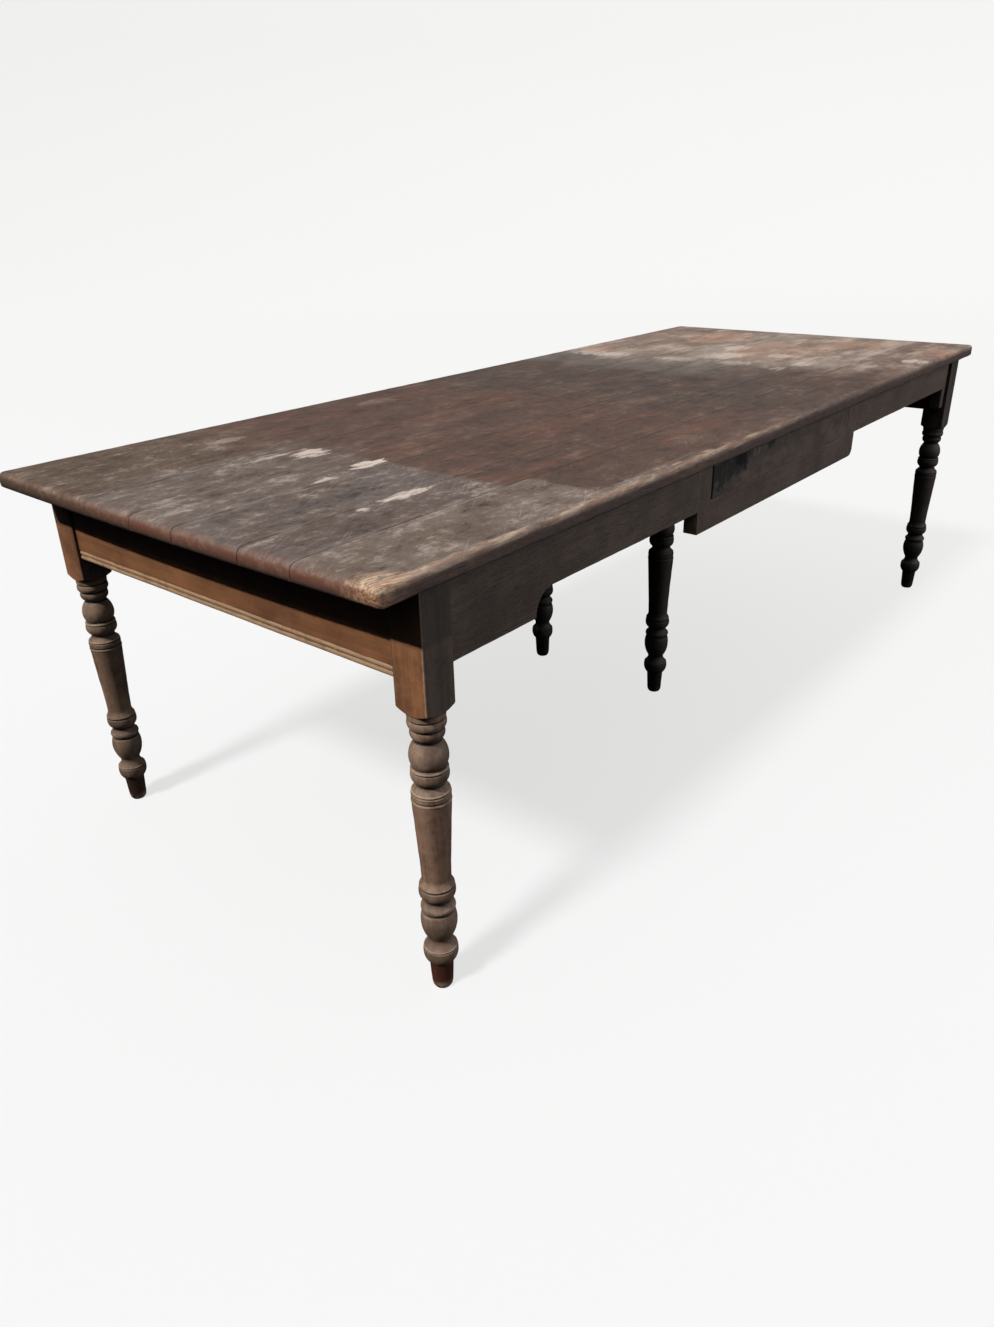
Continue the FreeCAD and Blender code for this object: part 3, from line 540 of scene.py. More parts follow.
def drawer_stain():
    """The drawer front: the aprons' stain with an old dark spill at its near upper corner, a black run, pale
    scrapes beside it, a smudge at the upper edge, and a painted shadow of the gap along its near end."""
    material, spot = open_material("drawer_front_stain")
    streak, _, fibre, pore = grain_parts(spot, "X", 12.6)
    cloud = spot.noise((0.10, 0.10, 0.07), 5.0, 0.62)
    blot = spot.noise((0.014, 0.014, 0.018), 5.0, 0.66)
    ragged = spot.noise((0.030, 0.03, 0.030), 5.0, 0.66)
    tone = tone_of((streak, 0.4), (fibre, 0.6), (cloud, 1.6), (blot, 0.7))
    colour = tone.step(0.25, 0.75).blend(*APRON_TONES[:2])
    matt = 0.0
    for patches, stain in DRAWER_MARKS:
        mark = clouded(spot, patches, ragged, "XZ", 2.4)
        colour = mark.blend(colour, stain)
        matt = mark + matt
    scrape = spot.noise((0.0035, 0.01, 0.030), 3.0, 0.6).step(0.52, 0.66)
    colour = (scrape * clouded(spot, SCRAPES, cloud, "XZ", 1.6)).blend(colour, (150, 142, 136))
    # painted shadow of the gap beside the near stile, along the drawer front's near edge
    gap_shadow = 1.0 - (spot.part("X") + (blot - 0.5) * 0.004).step(DRAWER_NEAR + 0.003, DRAWER_NEAR + 0.006)
    colour = (gap_shadow * 0.95).blend(colour, (5, 5, 4))
    rough = 0.50 + cloud * 0.25 + matt * 0.20
    return close_material(material, colour, rough, fibre * 0.5 + blot * 0.4 - pore * 0.5, 0.0006)


def iron(name):
    """Old screw heads: dark brown rust over dull grey."""
    material, spot = open_material(name)
    rust = spot.noise((0.004, 0.004, 0.004), 4.0, 0.6)
    colour = rust.step(0.35, 0.65).blend((62, 58, 54), (84, 50, 32))
    return close_material(material, colour, 0.5 + rust * 0.35, rust, 0.0002)


def ripple(path, seed, lengths):
    """Gentle random waves along a path: the mean of sines of the given lengths with seeded phases."""
    draw = np.random.default_rng(seed)
    waves = [np.sin(2 * np.pi * path / length + draw.uniform(0, 2 * np.pi)) for length in lengths]
    return np.mean(waves, axis=0)


def join_grids(name, grids, material, body, nodes=(), crease=32):
    """One piece from grids of points. Each grid goes along a path in its first index and round a closed loop in
    its second, with flat ends. Attributes come with the points. A grid whose volume is negative is turned
    over."""
    points, faces, marks = [], [], {}
    start = 0
    for grid, attributes in grids:
        rows, columns = grid.shape[:2]
        index = np.arange(rows * columns).reshape(rows, columns) + start
        ahead = np.roll(index, -1, axis=1)
        quads = np.stack([index[:-1], ahead[:-1], ahead[1:], index[1:]], axis=-1).reshape(-1, 4)
        flat = grid.reshape(-1, 3)
        corners = flat[quads - start]
        cross = np.cross(corners[:, 2] - corners[:, 0], corners[:, 3] - corners[:, 1])
        inside_out = np.einsum("ij,ij->", corners.mean(axis=1) - flat.mean(axis=0), cross) < 0
        caps = [index[0, ::-1].tolist(), index[-1].tolist()]
        if inside_out:
            quads = quads[:, ::-1]
            caps = [cap[::-1] for cap in caps]
        points.append(flat)
        faces += quads.tolist() + caps
        for key, values in attributes.items():
            marks.setdefault(key, []).append(values.reshape(-1))
        start += rows * columns
    mesh = bpy.data.meshes.new(name)
    mesh.from_pydata(np.concatenate(points).tolist(), [], faces)
    for key, values in marks.items():
        mesh.attributes.new(key, "FLOAT", "POINT").data.foreach_set("value", np.concatenate(values))
    mesh.shade_smooth()
    mesh.set_sharp_from_angle(angle=math.radians(crease))
    mesh.materials.append(material)
    piece = bpy.data.objects.new(name, mesh)
    bpy.context.scene.collection.objects.link(piece)
    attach(piece, body)
    if nodes:
        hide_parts(*nodes)
    return piece


CORNER_STEPS = 5
FACE_STEPS = 13
END_STEPS = 6


def soft_loop(low_a, high_a, low_b, high_b, radii):
    """Closed loops round rectangles with rounded corners, for all stations at once. Each corner is a quarter
    circle of its own radius, and the points of each face crowd towards its two corners.
    Gives both coordinates and the distance from the nearest corner along the face."""
    turn = np.linspace(0, np.pi / 2, CORNER_STEPS)
    crowd = (0.5 - 0.5 * np.cos(np.linspace(0, np.pi, FACE_STEPS + 2)))[1:-1]
    starts = (np.pi, 1.5 * np.pi, 0.0, 0.5 * np.pi)
    sides = ((low_a, low_b, 1, 1), (high_a, low_b, -1, 1), (high_a, high_b, -1, -1), (low_a, high_b, 1, -1))
    arcs = []
    for (edge_a, edge_b, way_a, way_b), radius, begin in zip(sides, radii, starts):
        reach = np.broadcast_to(radius, edge_a.shape)[:, None]
        arc_a = edge_a[:, None] + way_a * reach + reach * np.cos(begin + turn)
        arc_b = edge_b[:, None] + way_b * reach + reach * np.sin(begin + turn)
        arcs.append((arc_a, arc_b))
    loop_a, loop_b, away = [], [], []
    for (arc_a, arc_b), (next_a, next_b) in zip(arcs, arcs[1:] + arcs[:1]):
        face_a = arc_a[:, -1:] + (next_a[:, :1] - arc_a[:, -1:]) * crowd
        face_b = arc_b[:, -1:] + (next_b[:, :1] - arc_b[:, -1:]) * crowd
        length = np.hypot(next_a[:, :1] - arc_a[:, -1:], next_b[:, :1] - arc_b[:, -1:])
        loop_a += [arc_a, face_a]
        loop_b += [arc_b, face_b]
        away += [np.zeros_like(arc_a), length * np.minimum(crowd, 1 - crowd)]
    return np.hstack(loop_a), np.hstack(loop_b), np.hstack(away)


def stacked(axis, path, loop_a, loop_b):
    """Points whose coordinate along the axis is the path, and whose other two, in order, are the loop's."""
    columns = [loop_a, loop_b]
    columns.insert(AXES.index(axis), np.broadcast_to(path[:, None], loop_a.shape))
    return np.stack(columns, axis=-1)


def end_curve(path, low, high, radius):
    """How far a rounded end pulls the section in: the radius less the height of its quarter circle."""
    away = np.clip(np.minimum(path - low, high - path), 0, radius)
    return radius - np.sqrt(radius ** 2 - (radius - away) ** 2)


def even_path(low, high, spacing, radius):
    """Stations along a bar: close together round both ends and evenly spaced between."""
    bend = radius * (1 - np.cos(np.linspace(0, np.pi / 2, END_STEPS)))
    middle = np.linspace(low + radius, high - radius, max(2, int((high - low) / spacing)))
    return np.concatenate([low + bend[:-1], middle, (high - bend[:-1])[::-1]])


def soft_bar(axis, path, low_a, high_a, low_b, high_b, radius, seed, rub=0.010, end_radius=None):
    """A board along an axis: at each station a rectangle with rounded corners, pulled in round both ends,
    with edges that waver a little. The edge attribute falls off with the distance from the nearest edge."""
    low, high = path.min(), path.max()
    pull = end_curve(path, low, high, radius if end_radius is None else end_radius)
    waver = radius * (1 + 0.35 * ripple(path, seed, (0.31, 0.127, 0.047)))
    sides = [np.broadcast_to(side, path.shape) for side in (low_a, high_a, low_b, high_b)]
    loop_a, loop_b, away = soft_loop(
        sides[0] + pull, sides[1] - pull, sides[2] + pull, sides[3] - pull, [waver] * 4
    )
    ends = np.minimum(path - low, high - path)[:, None]
    edge = np.exp(-np.minimum(away, ends + 0 * away) / rub)
    return stacked(axis, path, loop_a, loop_b), {"edge": edge}


# Top

TOP_CORNER = 11 * MM
END_RIM = 10 * MM
SIDE_RIM = 7 * MM
UNDER_EDGE = 4 * MM
UNDER_NOSE = 0.8
WORN_REACH = 30 * MM
WORN_DROP = 3 * MM
END_BOW = 8 * MM
JOINT_ARRIS = 0.5 * MM
JOINT_LINES = (-HALF_WIDTH, -0.3481, -0.2321, -0.0684, 0.0497, 0.1896, HALF_WIDTH)
HALF_GAP = 0.15 * MM
END_SPLIT = 0.5 * MM
SPLIT_REACH = 20 * MM
SPLIT_PLANKS = 4
OPEN_JOINT = 0.1 * MM
DENT = 0.7 * MM
BOW_REACH = 150 * MM
PLANK_STEP = 11 * MM
END_STATIONS = np.array([10, 14, 19, 25, 32]) * MM
FAR_AWAY = 9.0

# Marks of a plank: depth where its side begins, and how far rubbing, dirt and dust reach from an edge or joint
SIDE_DEPTH = 10.5 * MM
EDGE_REACH = 7 * MM
JOINT_REACH = 1.3 * MM
DUST_REACH = 6 * MM

# The side's mark sets in over its fade, round an end over the last of the rim, and stops short of a joint.
# The joint's marks set in behind the end, the edge's mark is full up to its own limit, and the underside
# has a small tolerance.
SIDE_FADE = 3 * MM
END_DEPTH, END_FADE, END_FACE = 2.2 * MM, 1.6 * MM, 0.4 * MM
JOINT_CLEAR, JOINT_FADE = 2 * MM, 3 * MM
FULL_EDGE = 3 * MM
UNDER_PLAY = 0.2 * MM


def plank_grid(number, front, back, first, last):
    """One plank: along the table it is a rectangle with rounded corners, wider ones at the top's own edge and
    small ones at a joint. Its ends are rounded and its joints open a little towards them. Towards the top's edge
    its face falls by the square of the nearness to the edge, and the edge is dented by a slow wave. The near end
    bows out by a parabola across the top."""
    low, high = -HALF_LENGTH, HALF_LENGTH
    path = even_path(low, high, PLANK_STEP, END_RIM)
    path = np.unique(np.concatenate([path, low + END_STATIONS, high - END_STATIONS]))
    pull = end_curve(path, low, high, END_RIM)
    ends = np.minimum(path - low, high - path)
    split = END_SPLIT * np.exp(-ends / SPLIT_REACH) * (number <= SPLIT_PLANKS)
    open_joint = split + OPEN_JOINT * (1 + ripple(path, 40 + number, (0.4, 0.13)))
    dent = DENT * (1 + ripple(path, 50 + number, (0.23, 0.071, 0.033)))
    corner = end_curve(path, low, high, TOP_CORNER)
    pull_front = corner + dent if first else open_joint
    pull_back = corner + dent if last else open_joint
    front_line = front + (0 if first else HALF_GAP) + pull_front
    back_line = back - (0 if last else HALF_GAP) - pull_back
    waver = 1 + 0.3 * ripple(path, 60 + number, (0.19, 0.083, 0.029))
    radii = (
        UNDER_EDGE * waver if first else JOINT_ARRIS,
        UNDER_EDGE * waver if last else JOINT_ARRIS,
        SIDE_RIM * waver if last else JOINT_ARRIS,
        SIDE_RIM * waver if first else JOINT_ARRIS,
    )
    floor = TOP_UNDERSIDE + pull * UNDER_NOSE
    face = TOP_FACE - pull
    loop_y, loop_z, away = soft_loop(front_line, back_line, floor, face, radii)
    to_end = ends[:, None] + 0 * away
    to_front, to_back = loop_y - front_line[:, None], back_line[:, None] - loop_y
    outer = np.minimum(to_front if first else FAR_AWAY, to_back if last else FAR_AWAY)
    outer = np.minimum(outer, to_end)
    to_joint = np.minimum(FAR_AWAY if first else to_front, FAR_AWAY if last else to_back)
    in_upper = loop_z > (floor + face)[:, None] / 2
    drop = WORN_DROP * (1 - np.clip(outer / WORN_REACH, 0, 1)) ** 2
    loop_z = loop_z - np.where(in_upper, drop, 0)
    depth = TOP_FACE - loop_z
    side = np.clip((depth - SIDE_DEPTH) / SIDE_FADE, 0, 1)
    side = np.maximum(side, np.clip((END_DEPTH - to_end) / END_FADE, 0, 1))
    under = (loop_z < TOP_UNDERSIDE + UNDER_PLAY).astype(float)
    edge = np.exp(-np.maximum(outer - FULL_EDGE, 0) / EDGE_REACH)
    inner = np.clip(to_end / JOINT_FADE, 0, 1)
    side = np.where(to_end < END_FACE, 1.0, side * (to_joint > JOINT_CLEAR))
    joint, dust = (np.exp(-to_joint / reach) * inner for reach in (JOINT_REACH, DUST_REACH))
    marks = {"edge": edge, "side": side, "under": under, "joint": joint, "dust": dust}
    grid = stacked("X", path, loop_y, loop_z)
    bow = END_BOW * (1 - (loop_y / HALF_WIDTH) ** 2)
    grid[..., 0] -= bow * np.exp((low - path) / BOW_REACH)[:, None]
    return grid, marks


NEAR_GREY = (96, 84, 77)
NEAR_PURPLE = (92, 79, 75)
NEAR_COOL = (94, 83, 78)
NEAR_BROWN = (88, 71, 58)
NEAR_FRONT = (107, 93, 84)
OPEN_BROWN = (82, 63, 50)
COVER_BROWN = (80, 61, 52)
COVER_RED = (98, 66, 53)
COVER_GREY = (68, 59, 54)
FAR_PALE = (134, 121, 110)
FAR_TAN = (124, 106, 94)
FAR_BROWN = (110, 91, 82)
UNDER_DARK = (92, 68, 48)
UNDER_LIGHT = (150, 118, 86)

# Stain at the near end and at the far end of each plank
PLANK_COLOURS = (
    (NEAR_FRONT, FAR_BROWN),
    (NEAR_PURPLE, FAR_PALE),
    (NEAR_COOL, FAR_PALE),
    (NEAR_GREY, FAR_PALE),
    (NEAR_GREY, FAR_PALE),
    (NEAR_GREY, FAR_TAN),
)


def make_top():
    """The six planks, from the drawer side to the back."""
    count = len(PLANK_COLOURS)
    for number, colours in enumerate(PLANK_COLOURS, start=1):
        front, back = JOINT_LINES[number - 1], JOINT_LINES[number]
        first, last = number == 1, number == count
        near_line = COVER_NEAR_FRONT_PLANK if first else COVER_NEAR
        finish = top_wood(number, front, back, near_line, colours)
        grid = plank_grid(number, front, back, first, last)
        join_grids(f"worn_plank_{number}", [grid], finish, "frame", [f"top_plank_{number}"])


# Legs

ARC_ROWS = 9
TAPER_STEP = 4
LEG_COLUMNS = 80
BLOCK_POWER = 34
CONE_START = 0.0315
CONE_SLOPE = 1.6
BLOCK_REACH = 0.060
HOLLOW_DEPTH = 2.8 * MM
CROWN_RISE = 1.6 * MM
MEAN_SPAN = 25
FINE_ROWS = 1075
LEG_WEAR = 0.006
SHOULDER_ROWS = np.concatenate([[0.0], np.linspace(0.0004, 0.012, 12)])
BLOCK_START = 16 * MM
BLOCK_ROWS = 14

# Rubbing of the crowns, and of the block's corners with its shares on the inner sides along X and Y
CROWN_WEAR = 0.8
BLOCK_CORNER = 41.5 * MM
CORNER_FADE = 3 * MM
INNER_SHARES = (0.15, 0.5)


def turning_radius():
    """Heights and radii of the turning. A bead is two arcs whose centres lie level with its crown: the centre
    of each is c = (crown^2 - neck^2 - rise^2) / (2 (crown - neck)), and the radius at a height z above the
    crown is c + sqrt((crown - c)^2 - z^2). A cove is a parabola that ends upright at its thin end.
    Tapers and grooves are straight slopes."""
    heights, radii = [np.zeros(1)], [np.full(1, FOOT_TOE)]
    rows = np.linspace(0, 1, ARC_ROWS)
    level, neck = 0.0, FOOT_TOE
    for way, *crown_place, top, top_radius in TURNED_MEMBERS:
        if way == "taper":
            share = np.linspace(0, 1, 2 + int((top - level) / TAPER_STEP))[1:]
            heights.append(level + (top - level) * share)
            radii.append(neck + (top_radius - neck) * share)
        elif way == "cove":
            heights.append(level + (top - level) * rows[1:])
            radii.append(top_radius + (neck - top_radius) * (1 - rows[1:]) ** 2)
        elif way == "groove":
            heights.append(np.array([crown_place[0], top]))
            radii.append(np.array([crown_place[1], top_radius]))
        else:
            crown_height, crown = crown_place
            for from_neck, rise, turn in ((neck, level - crown_height, rows[::-1]),
                                          (top_radius, top - crown_height, rows)):
                centre = (crown ** 2 - from_neck ** 2 - rise ** 2) / (2 * (crown - from_neck))
                off = rise * np.sin(turn * np.pi / 2)
                heights.append((crown_height + off)[1:])
                radii.append((centre + np.sqrt((crown - centre) ** 2 - off ** 2))[1:])
        level, neck = top, top_radius
    return np.concatenate(heights) * MM, np.concatenate(radii) * MM


def leg_grid(x, y, block_top, seed):
    """A leg as one surface of height and angle: its radius is the turning's, and above the turning the smaller
    of a cone that opens quickly and a square with slightly rounded corners, half / (|cos|^p + |sin|^p)^(1/p).
    The hollow and edge attributes compare the radius with its mean over a span of heights. The drawer_side
    attribute is 1 on the faces of the block towards the front and the back."""
    heights, radii = turning_radius()
    shoulder = TURNING_HEIGHT + SHOULDER_ROWS
    upper = np.linspace(TURNING_HEIGHT + BLOCK_START, block_top, BLOCK_ROWS)
    cone = CONE_START + (shoulder - TURNING_HEIGHT) * CONE_SLOPE
    cone[0] = radii[-1]
    heights = np.concatenate([heights, shoulder, upper])
    radii = np.concatenate([radii, cone, np.full(len(upper), BLOCK_REACH)])
    angle = np.linspace(0, 2 * np.pi, LEG_COLUMNS, endpoint=False)
    powers = np.abs(np.cos(angle)) ** BLOCK_POWER + np.abs(np.sin(angle)) ** BLOCK_POWER
    square = BLOCK_HALF / powers ** (1 / BLOCK_POWER)
    radius = np.minimum(radii[:, None], square[None, :])
    in_block = heights[:, None] > TURNING_HEIGHT
    radius = np.where(in_block, radius, radii[:, None])
    uneven = (1 + ripple(heights, seed, (0.09, 0.041)))[:, None]
    wear = 1 - LEG_WEAR * uneven * (1 + np.cos(angle - seed))[None, :]
    radius = radius * np.where(in_block, 1.0, wear)
    fine = np.linspace(0, TURNING_HEIGHT, FINE_ROWS)
    fine_radius = np.interp(fine, heights, radii)
    span = np.ones(MEAN_SPAN) / MEAN_SPAN
    mean = np.convolve(np.pad(fine_radius, MEAN_SPAN // 2, mode="edge"), span, mode="valid")
    relief = np.interp(heights, fine, fine_radius - mean)
    in_turning = (heights <= TURNING_HEIGHT)[:, None]
    hollow = np.where(in_turning, np.clip(-relief / HOLLOW_DEPTH, 0, 1)[:, None], 0) + 0 * radius
    crown_edge = np.clip(relief / CROWN_RISE, 0, 1)[:, None] * CROWN_WEAR
    outer = np.where(np.cos(angle) * np.sign(x) > 0, 1.0, INNER_SHARES[0])
    outer = outer * np.where(np.sin(angle) * y > 0, 1.0, INNER_SHARES[1])
    corner = np.clip((radius - BLOCK_CORNER) / CORNER_FADE, 0, 1) * outer
    edge = np.where(in_turning, crown_edge + 0 * radius, corner)
    front = (np.abs(np.sin(angle)) > np.abs(np.cos(angle)))[None, :] + 0.0 * radius
    path = heights[:, None] + 0 * radius
    grid = np.stack([x + radius * np.cos(angle), y + radius * np.sin(angle), path], axis=-1)
    return grid, {"edge": edge, "hollow": hollow, "drawer_side": front}


# Block of a leg: dark and light on its end faces, dark and light on its other faces, and worn corners
BLOCK_TONES = ((98, 64, 42), (144, 98, 64), (61, 50, 44), (87, 73, 65), (182, 156, 130))
# Darker tones of a block that paint the shade on the middle legs and the far front leg
PAINTED_SHADE_BLOCK_TONES = ((48, 38, 31), (78, 62, 50), (50, 42, 37), (76, 65, 58), (100, 86, 75))

# Turning of a leg: dark, light, worn, the red of its shaft and of its foot
NEAR_TONES = ((90, 71, 59), (152, 126, 106), (190, 167, 146), (102, 58, 42), (70, 32, 23))
BACK_TONES = ((82, 65, 53), (138, 114, 95), (174, 151, 130), (92, 52, 38), (48, 30, 23))
# Darker tones of a turning that paint the shade on the middle legs and the far front leg
PAINTED_SHADE_TONES = ((33, 27, 24), (60, 50, 44), (78, 67, 58), (38, 25, 20), (26, 16, 13))

# Place of each leg, height of its block's top, tones of its turning and block
MIDDLE_Y = 0.190
MIDDLE_TOP = 0.608
LEG_PLACES = {
    "leg_near_front": (-LEG_X, -LEG_Y, TOP_UNDERSIDE, NEAR_TONES, BLOCK_TONES),
    "leg_near_back": (-LEG_X, LEG_Y, TOP_UNDERSIDE, BACK_TONES, BLOCK_TONES),
    "leg_far_front": (LEG_X, -LEG_Y, TOP_UNDERSIDE, PAINTED_SHADE_TONES, PAINTED_SHADE_BLOCK_TONES),
    "leg_far_back": (LEG_X, LEG_Y, TOP_UNDERSIDE, BACK_TONES, BLOCK_TONES),
    "leg_middle_front": (0.0, -MIDDLE_Y, MIDDLE_TOP, PAINTED_SHADE_TONES, PAINTED_SHADE_BLOCK_TONES),
    "leg_middle_back": (0.0, MIDDLE_Y, MIDDLE_TOP, PAINTED_SHADE_TONES, PAINTED_SHADE_BLOCK_TONES),
}


def make_legs():
    """The four corner legs and the middle pair, each with its own grain."""
    for seed, (node, (x, y, top, tones, block_tones)) in enumerate(LEG_PLACES.items(), start=1):
        finish = leg_wood(f"{node}_stain", seed * 1.37, block_tones, *tones)
        join_grids(f"turned_{node}", [leg_grid(x, y, top, seed)], finish, "frame", [node], 28)


# Aprons, rails and the drawer's surround

BOARD_EDGE = 2.2 * MM
FINE_EDGE = 0.5 * MM
FLUSH_EDGE = 0.2 * MM

# Dark, light and worn tones of each kind of board
APRON_TONES = ((64, 51, 44), (94, 78, 68), (122, 100, 84))
RAIL_TONES = ((98, 64, 42), (138, 93, 60), (186, 158, 128))
INNER_TONES = ((78, 58, 42), (140, 110, 82), (150, 122, 94))
DRAWER_TONES = ((104, 80, 56), (170, 138, 102), (182, 152, 118))

# The drawer hangs a little away from its near stile
DRAWER_NEAR, DRAWER_FAR = -0.3440, 0.3495
DRAWER_FACES = (-0.4965, -0.474)
DRAWER_HEIGHTS = (0.6655, 0.7415)
DRAWER_EDGE = 0.5 * MM
# The drawer sides are black in front of this place
BLACK_FRONT_BEFORE = -0.466
DRAWER_MARKS = ((SPILL, (5, 9, 5)), (BLACK_RUN, (1, 2, 1)))

LEG_FACE = LEG_X - BLOCK_HALF
BOARD_STEP = 0.012
BRACKET_END = -0.922
BRACKET_HOLLOW = 0.045
HOLLOW_STATIONS = 14
RUN_STATIONS = 44
DROP_START = 1.101
FAR_BOTTOM = 0.663
FAR_STATIONS = 52
DROP_STATIONS = 6
STILE_FACE = -0.3997
STILE_ROUND = 0.018
STILE_STEP = 0.004


def near_apron_outline():
    """Stations of the near apron and the height of its lower edge: the deep bracket by the leg, a hollow
    quarter circle, and the shallow run to the drawer section."""
    shallow = DEEP_BOTTOM + BRACKET_HOLLOW
    hollow_end = BRACKET_END + BRACKET_HOLLOW
    turn = np.linspace(0, np.pi / 2, HOLLOW_STATIONS)
    path = np.concatenate([
        even_path(-LEG_FACE, BRACKET_END, BOARD_STEP, BOARD_EDGE)[:-END_STEPS],
        BRACKET_END + BRACKET_HOLLOW * (1 - np.cos(turn)),
        np.linspace(hollow_end + BOARD_STEP, -SECTION_HALF, RUN_STATIONS),
    ])
    inside = np.clip((hollow_end - path) / BRACKET_HOLLOW, 0, 1)
    rise = BRACKET_HOLLOW * np.sqrt(1 - inside ** 2)
    bottom = np.where(path < BRACKET_END, DEEP_BOTTOM, np.minimum(DEEP_BOTTOM + rise, shallow))
    return path, bottom


def far_apron_outline():
    """Stations of the far apron and the height of its lower edge, with a square drop beside the leg."""
    path = np.concatenate([
        np.linspace(SECTION_HALF, DROP_START, FAR_STATIONS), np.linspace(DROP_START, LEG_FACE, DROP_STATIONS)
    ])
    bottom = np.where(np.arange(len(path)) < FAR_STATIONS, FAR_BOTTOM, DEEP_BOTTOM)
    return path, bottom


def stile_grid(sign, round_corner):
    """A stile of the drawer section, carried along X. Its lower outer corner is a quarter circle."""
    path = even_path(OPENING_HALF, SECTION_HALF, STILE_STEP, FINE_EDGE)
    beyond = np.clip(path - (SECTION_HALF - round_corner), 0, round_corner)
    lift = round_corner - np.sqrt(round_corner ** 2 - beyond ** 2)
    if sign < 0:
        path, lift = -path[::-1], lift[::-1]
    return soft_bar("X", path, *APRON_FACES, DEEP_BOTTOM + lift, TOP_UNDERSIDE, FINE_EDGE, 70 + sign)


RAIL_OUTER, RAIL_INNER = 1.189, 1.161
RAIL_BOTTOM = 0.588
BEAD = 9.5 * MM
BEAD_RELIEF = 2.6 * MM
BEADS_TOP = RAIL_BOTTOM + 2 * BEAD
RAIL_ARRIS = 1 * MM
RAIL_BOW = 0.4 * MM
CROWN_BAND = (2.2 * MM, 1.8 * MM)
BEAD_WEAR_AND_HIGHLIGHT = 0.95
BEAD_ROWS, FACE_ROWS, BACK_ROWS = 9, 10, 8
RAIL_STATIONS = 90


def rail_profile(sign):
    """Section of an end rail as a closed loop: its inner face, its top, its outer face, and two half-round beads
    along the lower edge, each a half circle squeezed to the beads' relief."""
    turn = np.linspace(0, np.pi, BEAD_ROWS)
    face = np.linspace(TOP_UNDERSIDE - RAIL_ARRIS, BEADS_TOP + RAIL_ARRIS, FACE_ROWS)
    fall = BEAD / 2 * (1 - np.cos(turn))
    bead_z = np.concatenate([BEADS_TOP - fall, RAIL_BOTTOM + BEAD - fall])
    bead_x = np.tile(RAIL_OUTER - BEAD_RELIEF + BEAD_RELIEF * np.sin(turn), 2)
    back = np.linspace(RAIL_BOTTOM + RAIL_ARRIS, TOP_UNDERSIDE - RAIL_ARRIS, BACK_ROWS)
    loop_x = np.concatenate([
        [RAIL_INNER + RAIL_ARRIS, RAIL_OUTER - RAIL_ARRIS], np.full(len(face), RAIL_OUTER), bead_x,
        [RAIL_INNER + RAIL_ARRIS], np.full(len(back), RAIL_INNER),
    ])
    loop_z = np.concatenate([[TOP_UNDERSIDE, TOP_UNDERSIDE], face, bead_z, [RAIL_BOTTOM], back])
    return loop_x * sign, loop_z


def rail_grid(sign, seed):
    """An end rail: its section carried across the table between the legs, bowed a little by a slow wave.
    The edge attribute is strong on the crowns of its beads, for wear there together with a painted highlight."""
    loop_x, loop_z = rail_profile(sign)
    path = np.linspace(BLOCK_HALF - LEG_Y, LEG_Y - BLOCK_HALF, RAIL_STATIONS)
    bow = -RAIL_BOW * (1 + ripple(path, seed, (0.7, 0.22)))
    grid_x = loop_x[None, :] + sign * bow[:, None]
    grid_z = loop_z[None, :] + 0 * path[:, None]
    grid_y = path[:, None] + 0 * grid_x
    beads = (loop_z < BEADS_TOP + RAIL_ARRIS / 2) * (np.abs(loop_x) > (RAIL_INNER + RAIL_OUTER) / 2)
    crowns = np.clip((np.abs(loop_x) - RAIL_OUTER + CROWN_BAND[0]) / CROWN_BAND[1], 0, 1)
    edge = np.broadcast_to(beads * crowns * BEAD_WEAR_AND_HIGHLIGHT, grid_x.shape).copy()
    return np.stack([grid_x, grid_y, grid_z], axis=-1), {"edge": edge}


def apron_stain(name, axis, seed, **more):
    """The dull even stain of the drawer side's boards."""
    return wood(name, axis, seed, APRON_TONES, 0.5, 0.3, 0.15, **more)


def make_front():
    """The aprons of the drawer side, the stiles and sill of the drawer section, and the drawer's front."""
    aprons = (("near", "bracketed", 5.3, near_apron_outline()), ("far", "stepped", 6.7, far_apron_outline()))
    for seed, (end, form, grain, (path, bottom)) in enumerate(aprons, start=21):
        node = f"front_apron_{end}"
        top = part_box(node)[1].z
        grid = soft_bar("X", path, *APRON_FACES, bottom, top, BOARD_EDGE, seed, end_radius=FLUSH_EDGE)
        finish = apron_stain(f"apron_{end}_stain", "X", grain)
        join_grids(f"{form}_apron", [grid], finish, "frame", [node])
    # the stile's near end face gets painted light from the floor
    stile = apron_stain("stile_stain", "Z", 2.2, bare_before=STILE_FACE)
    for sign, end, round_corner in ((-1, "near", 0), (1, "far", STILE_ROUND)):
        grid = stile_grid(sign, round_corner)
        join_grids(f"{end}_stile", [grid], stile, "frame", [f"drawer_stile_{end}"])
    path = even_path(-OPENING_HALF, OPENING_HALF, BOARD_STEP, FINE_EDGE)
    grid = soft_bar("X", path, *APRON_FACES, DEEP_BOTTOM, SILL_TOP, FINE_EDGE, 23)
    sill = apron_stain("sill_stain", "X", 8.9)
    join_grids("drawer_sill", [grid], sill, "frame", ["lower_drawer_rail"])
    path = even_path(DRAWER_NEAR, DRAWER_FAR, BOARD_STEP, DRAWER_EDGE)
    grid = soft_bar("X", path, *DRAWER_FACES, *DRAWER_HEIGHTS, DRAWER_EDGE, 24)
    join_grids("stained_drawer_front", [grid], drawer_stain(), "drawer", ["drawer_front"])


def make_rails():
    """The beaded rails of both ends."""
    for sign, end in ((-1, "near"), (1, "far")):
        # the rails carry the painted shadow of the top's overhang
        finish = wood(f"{end}_rail_stain", "Y", 4.4 + sign, RAIL_TONES, 0.5, 0.5, 0.7, with_overhang_shadow=True)
        grid = rail_grid(sign, 30 + sign)
        join_grids(f"beaded_rail_{end}", [grid], finish, "frame", [f"end_rail_{end}"], 40)


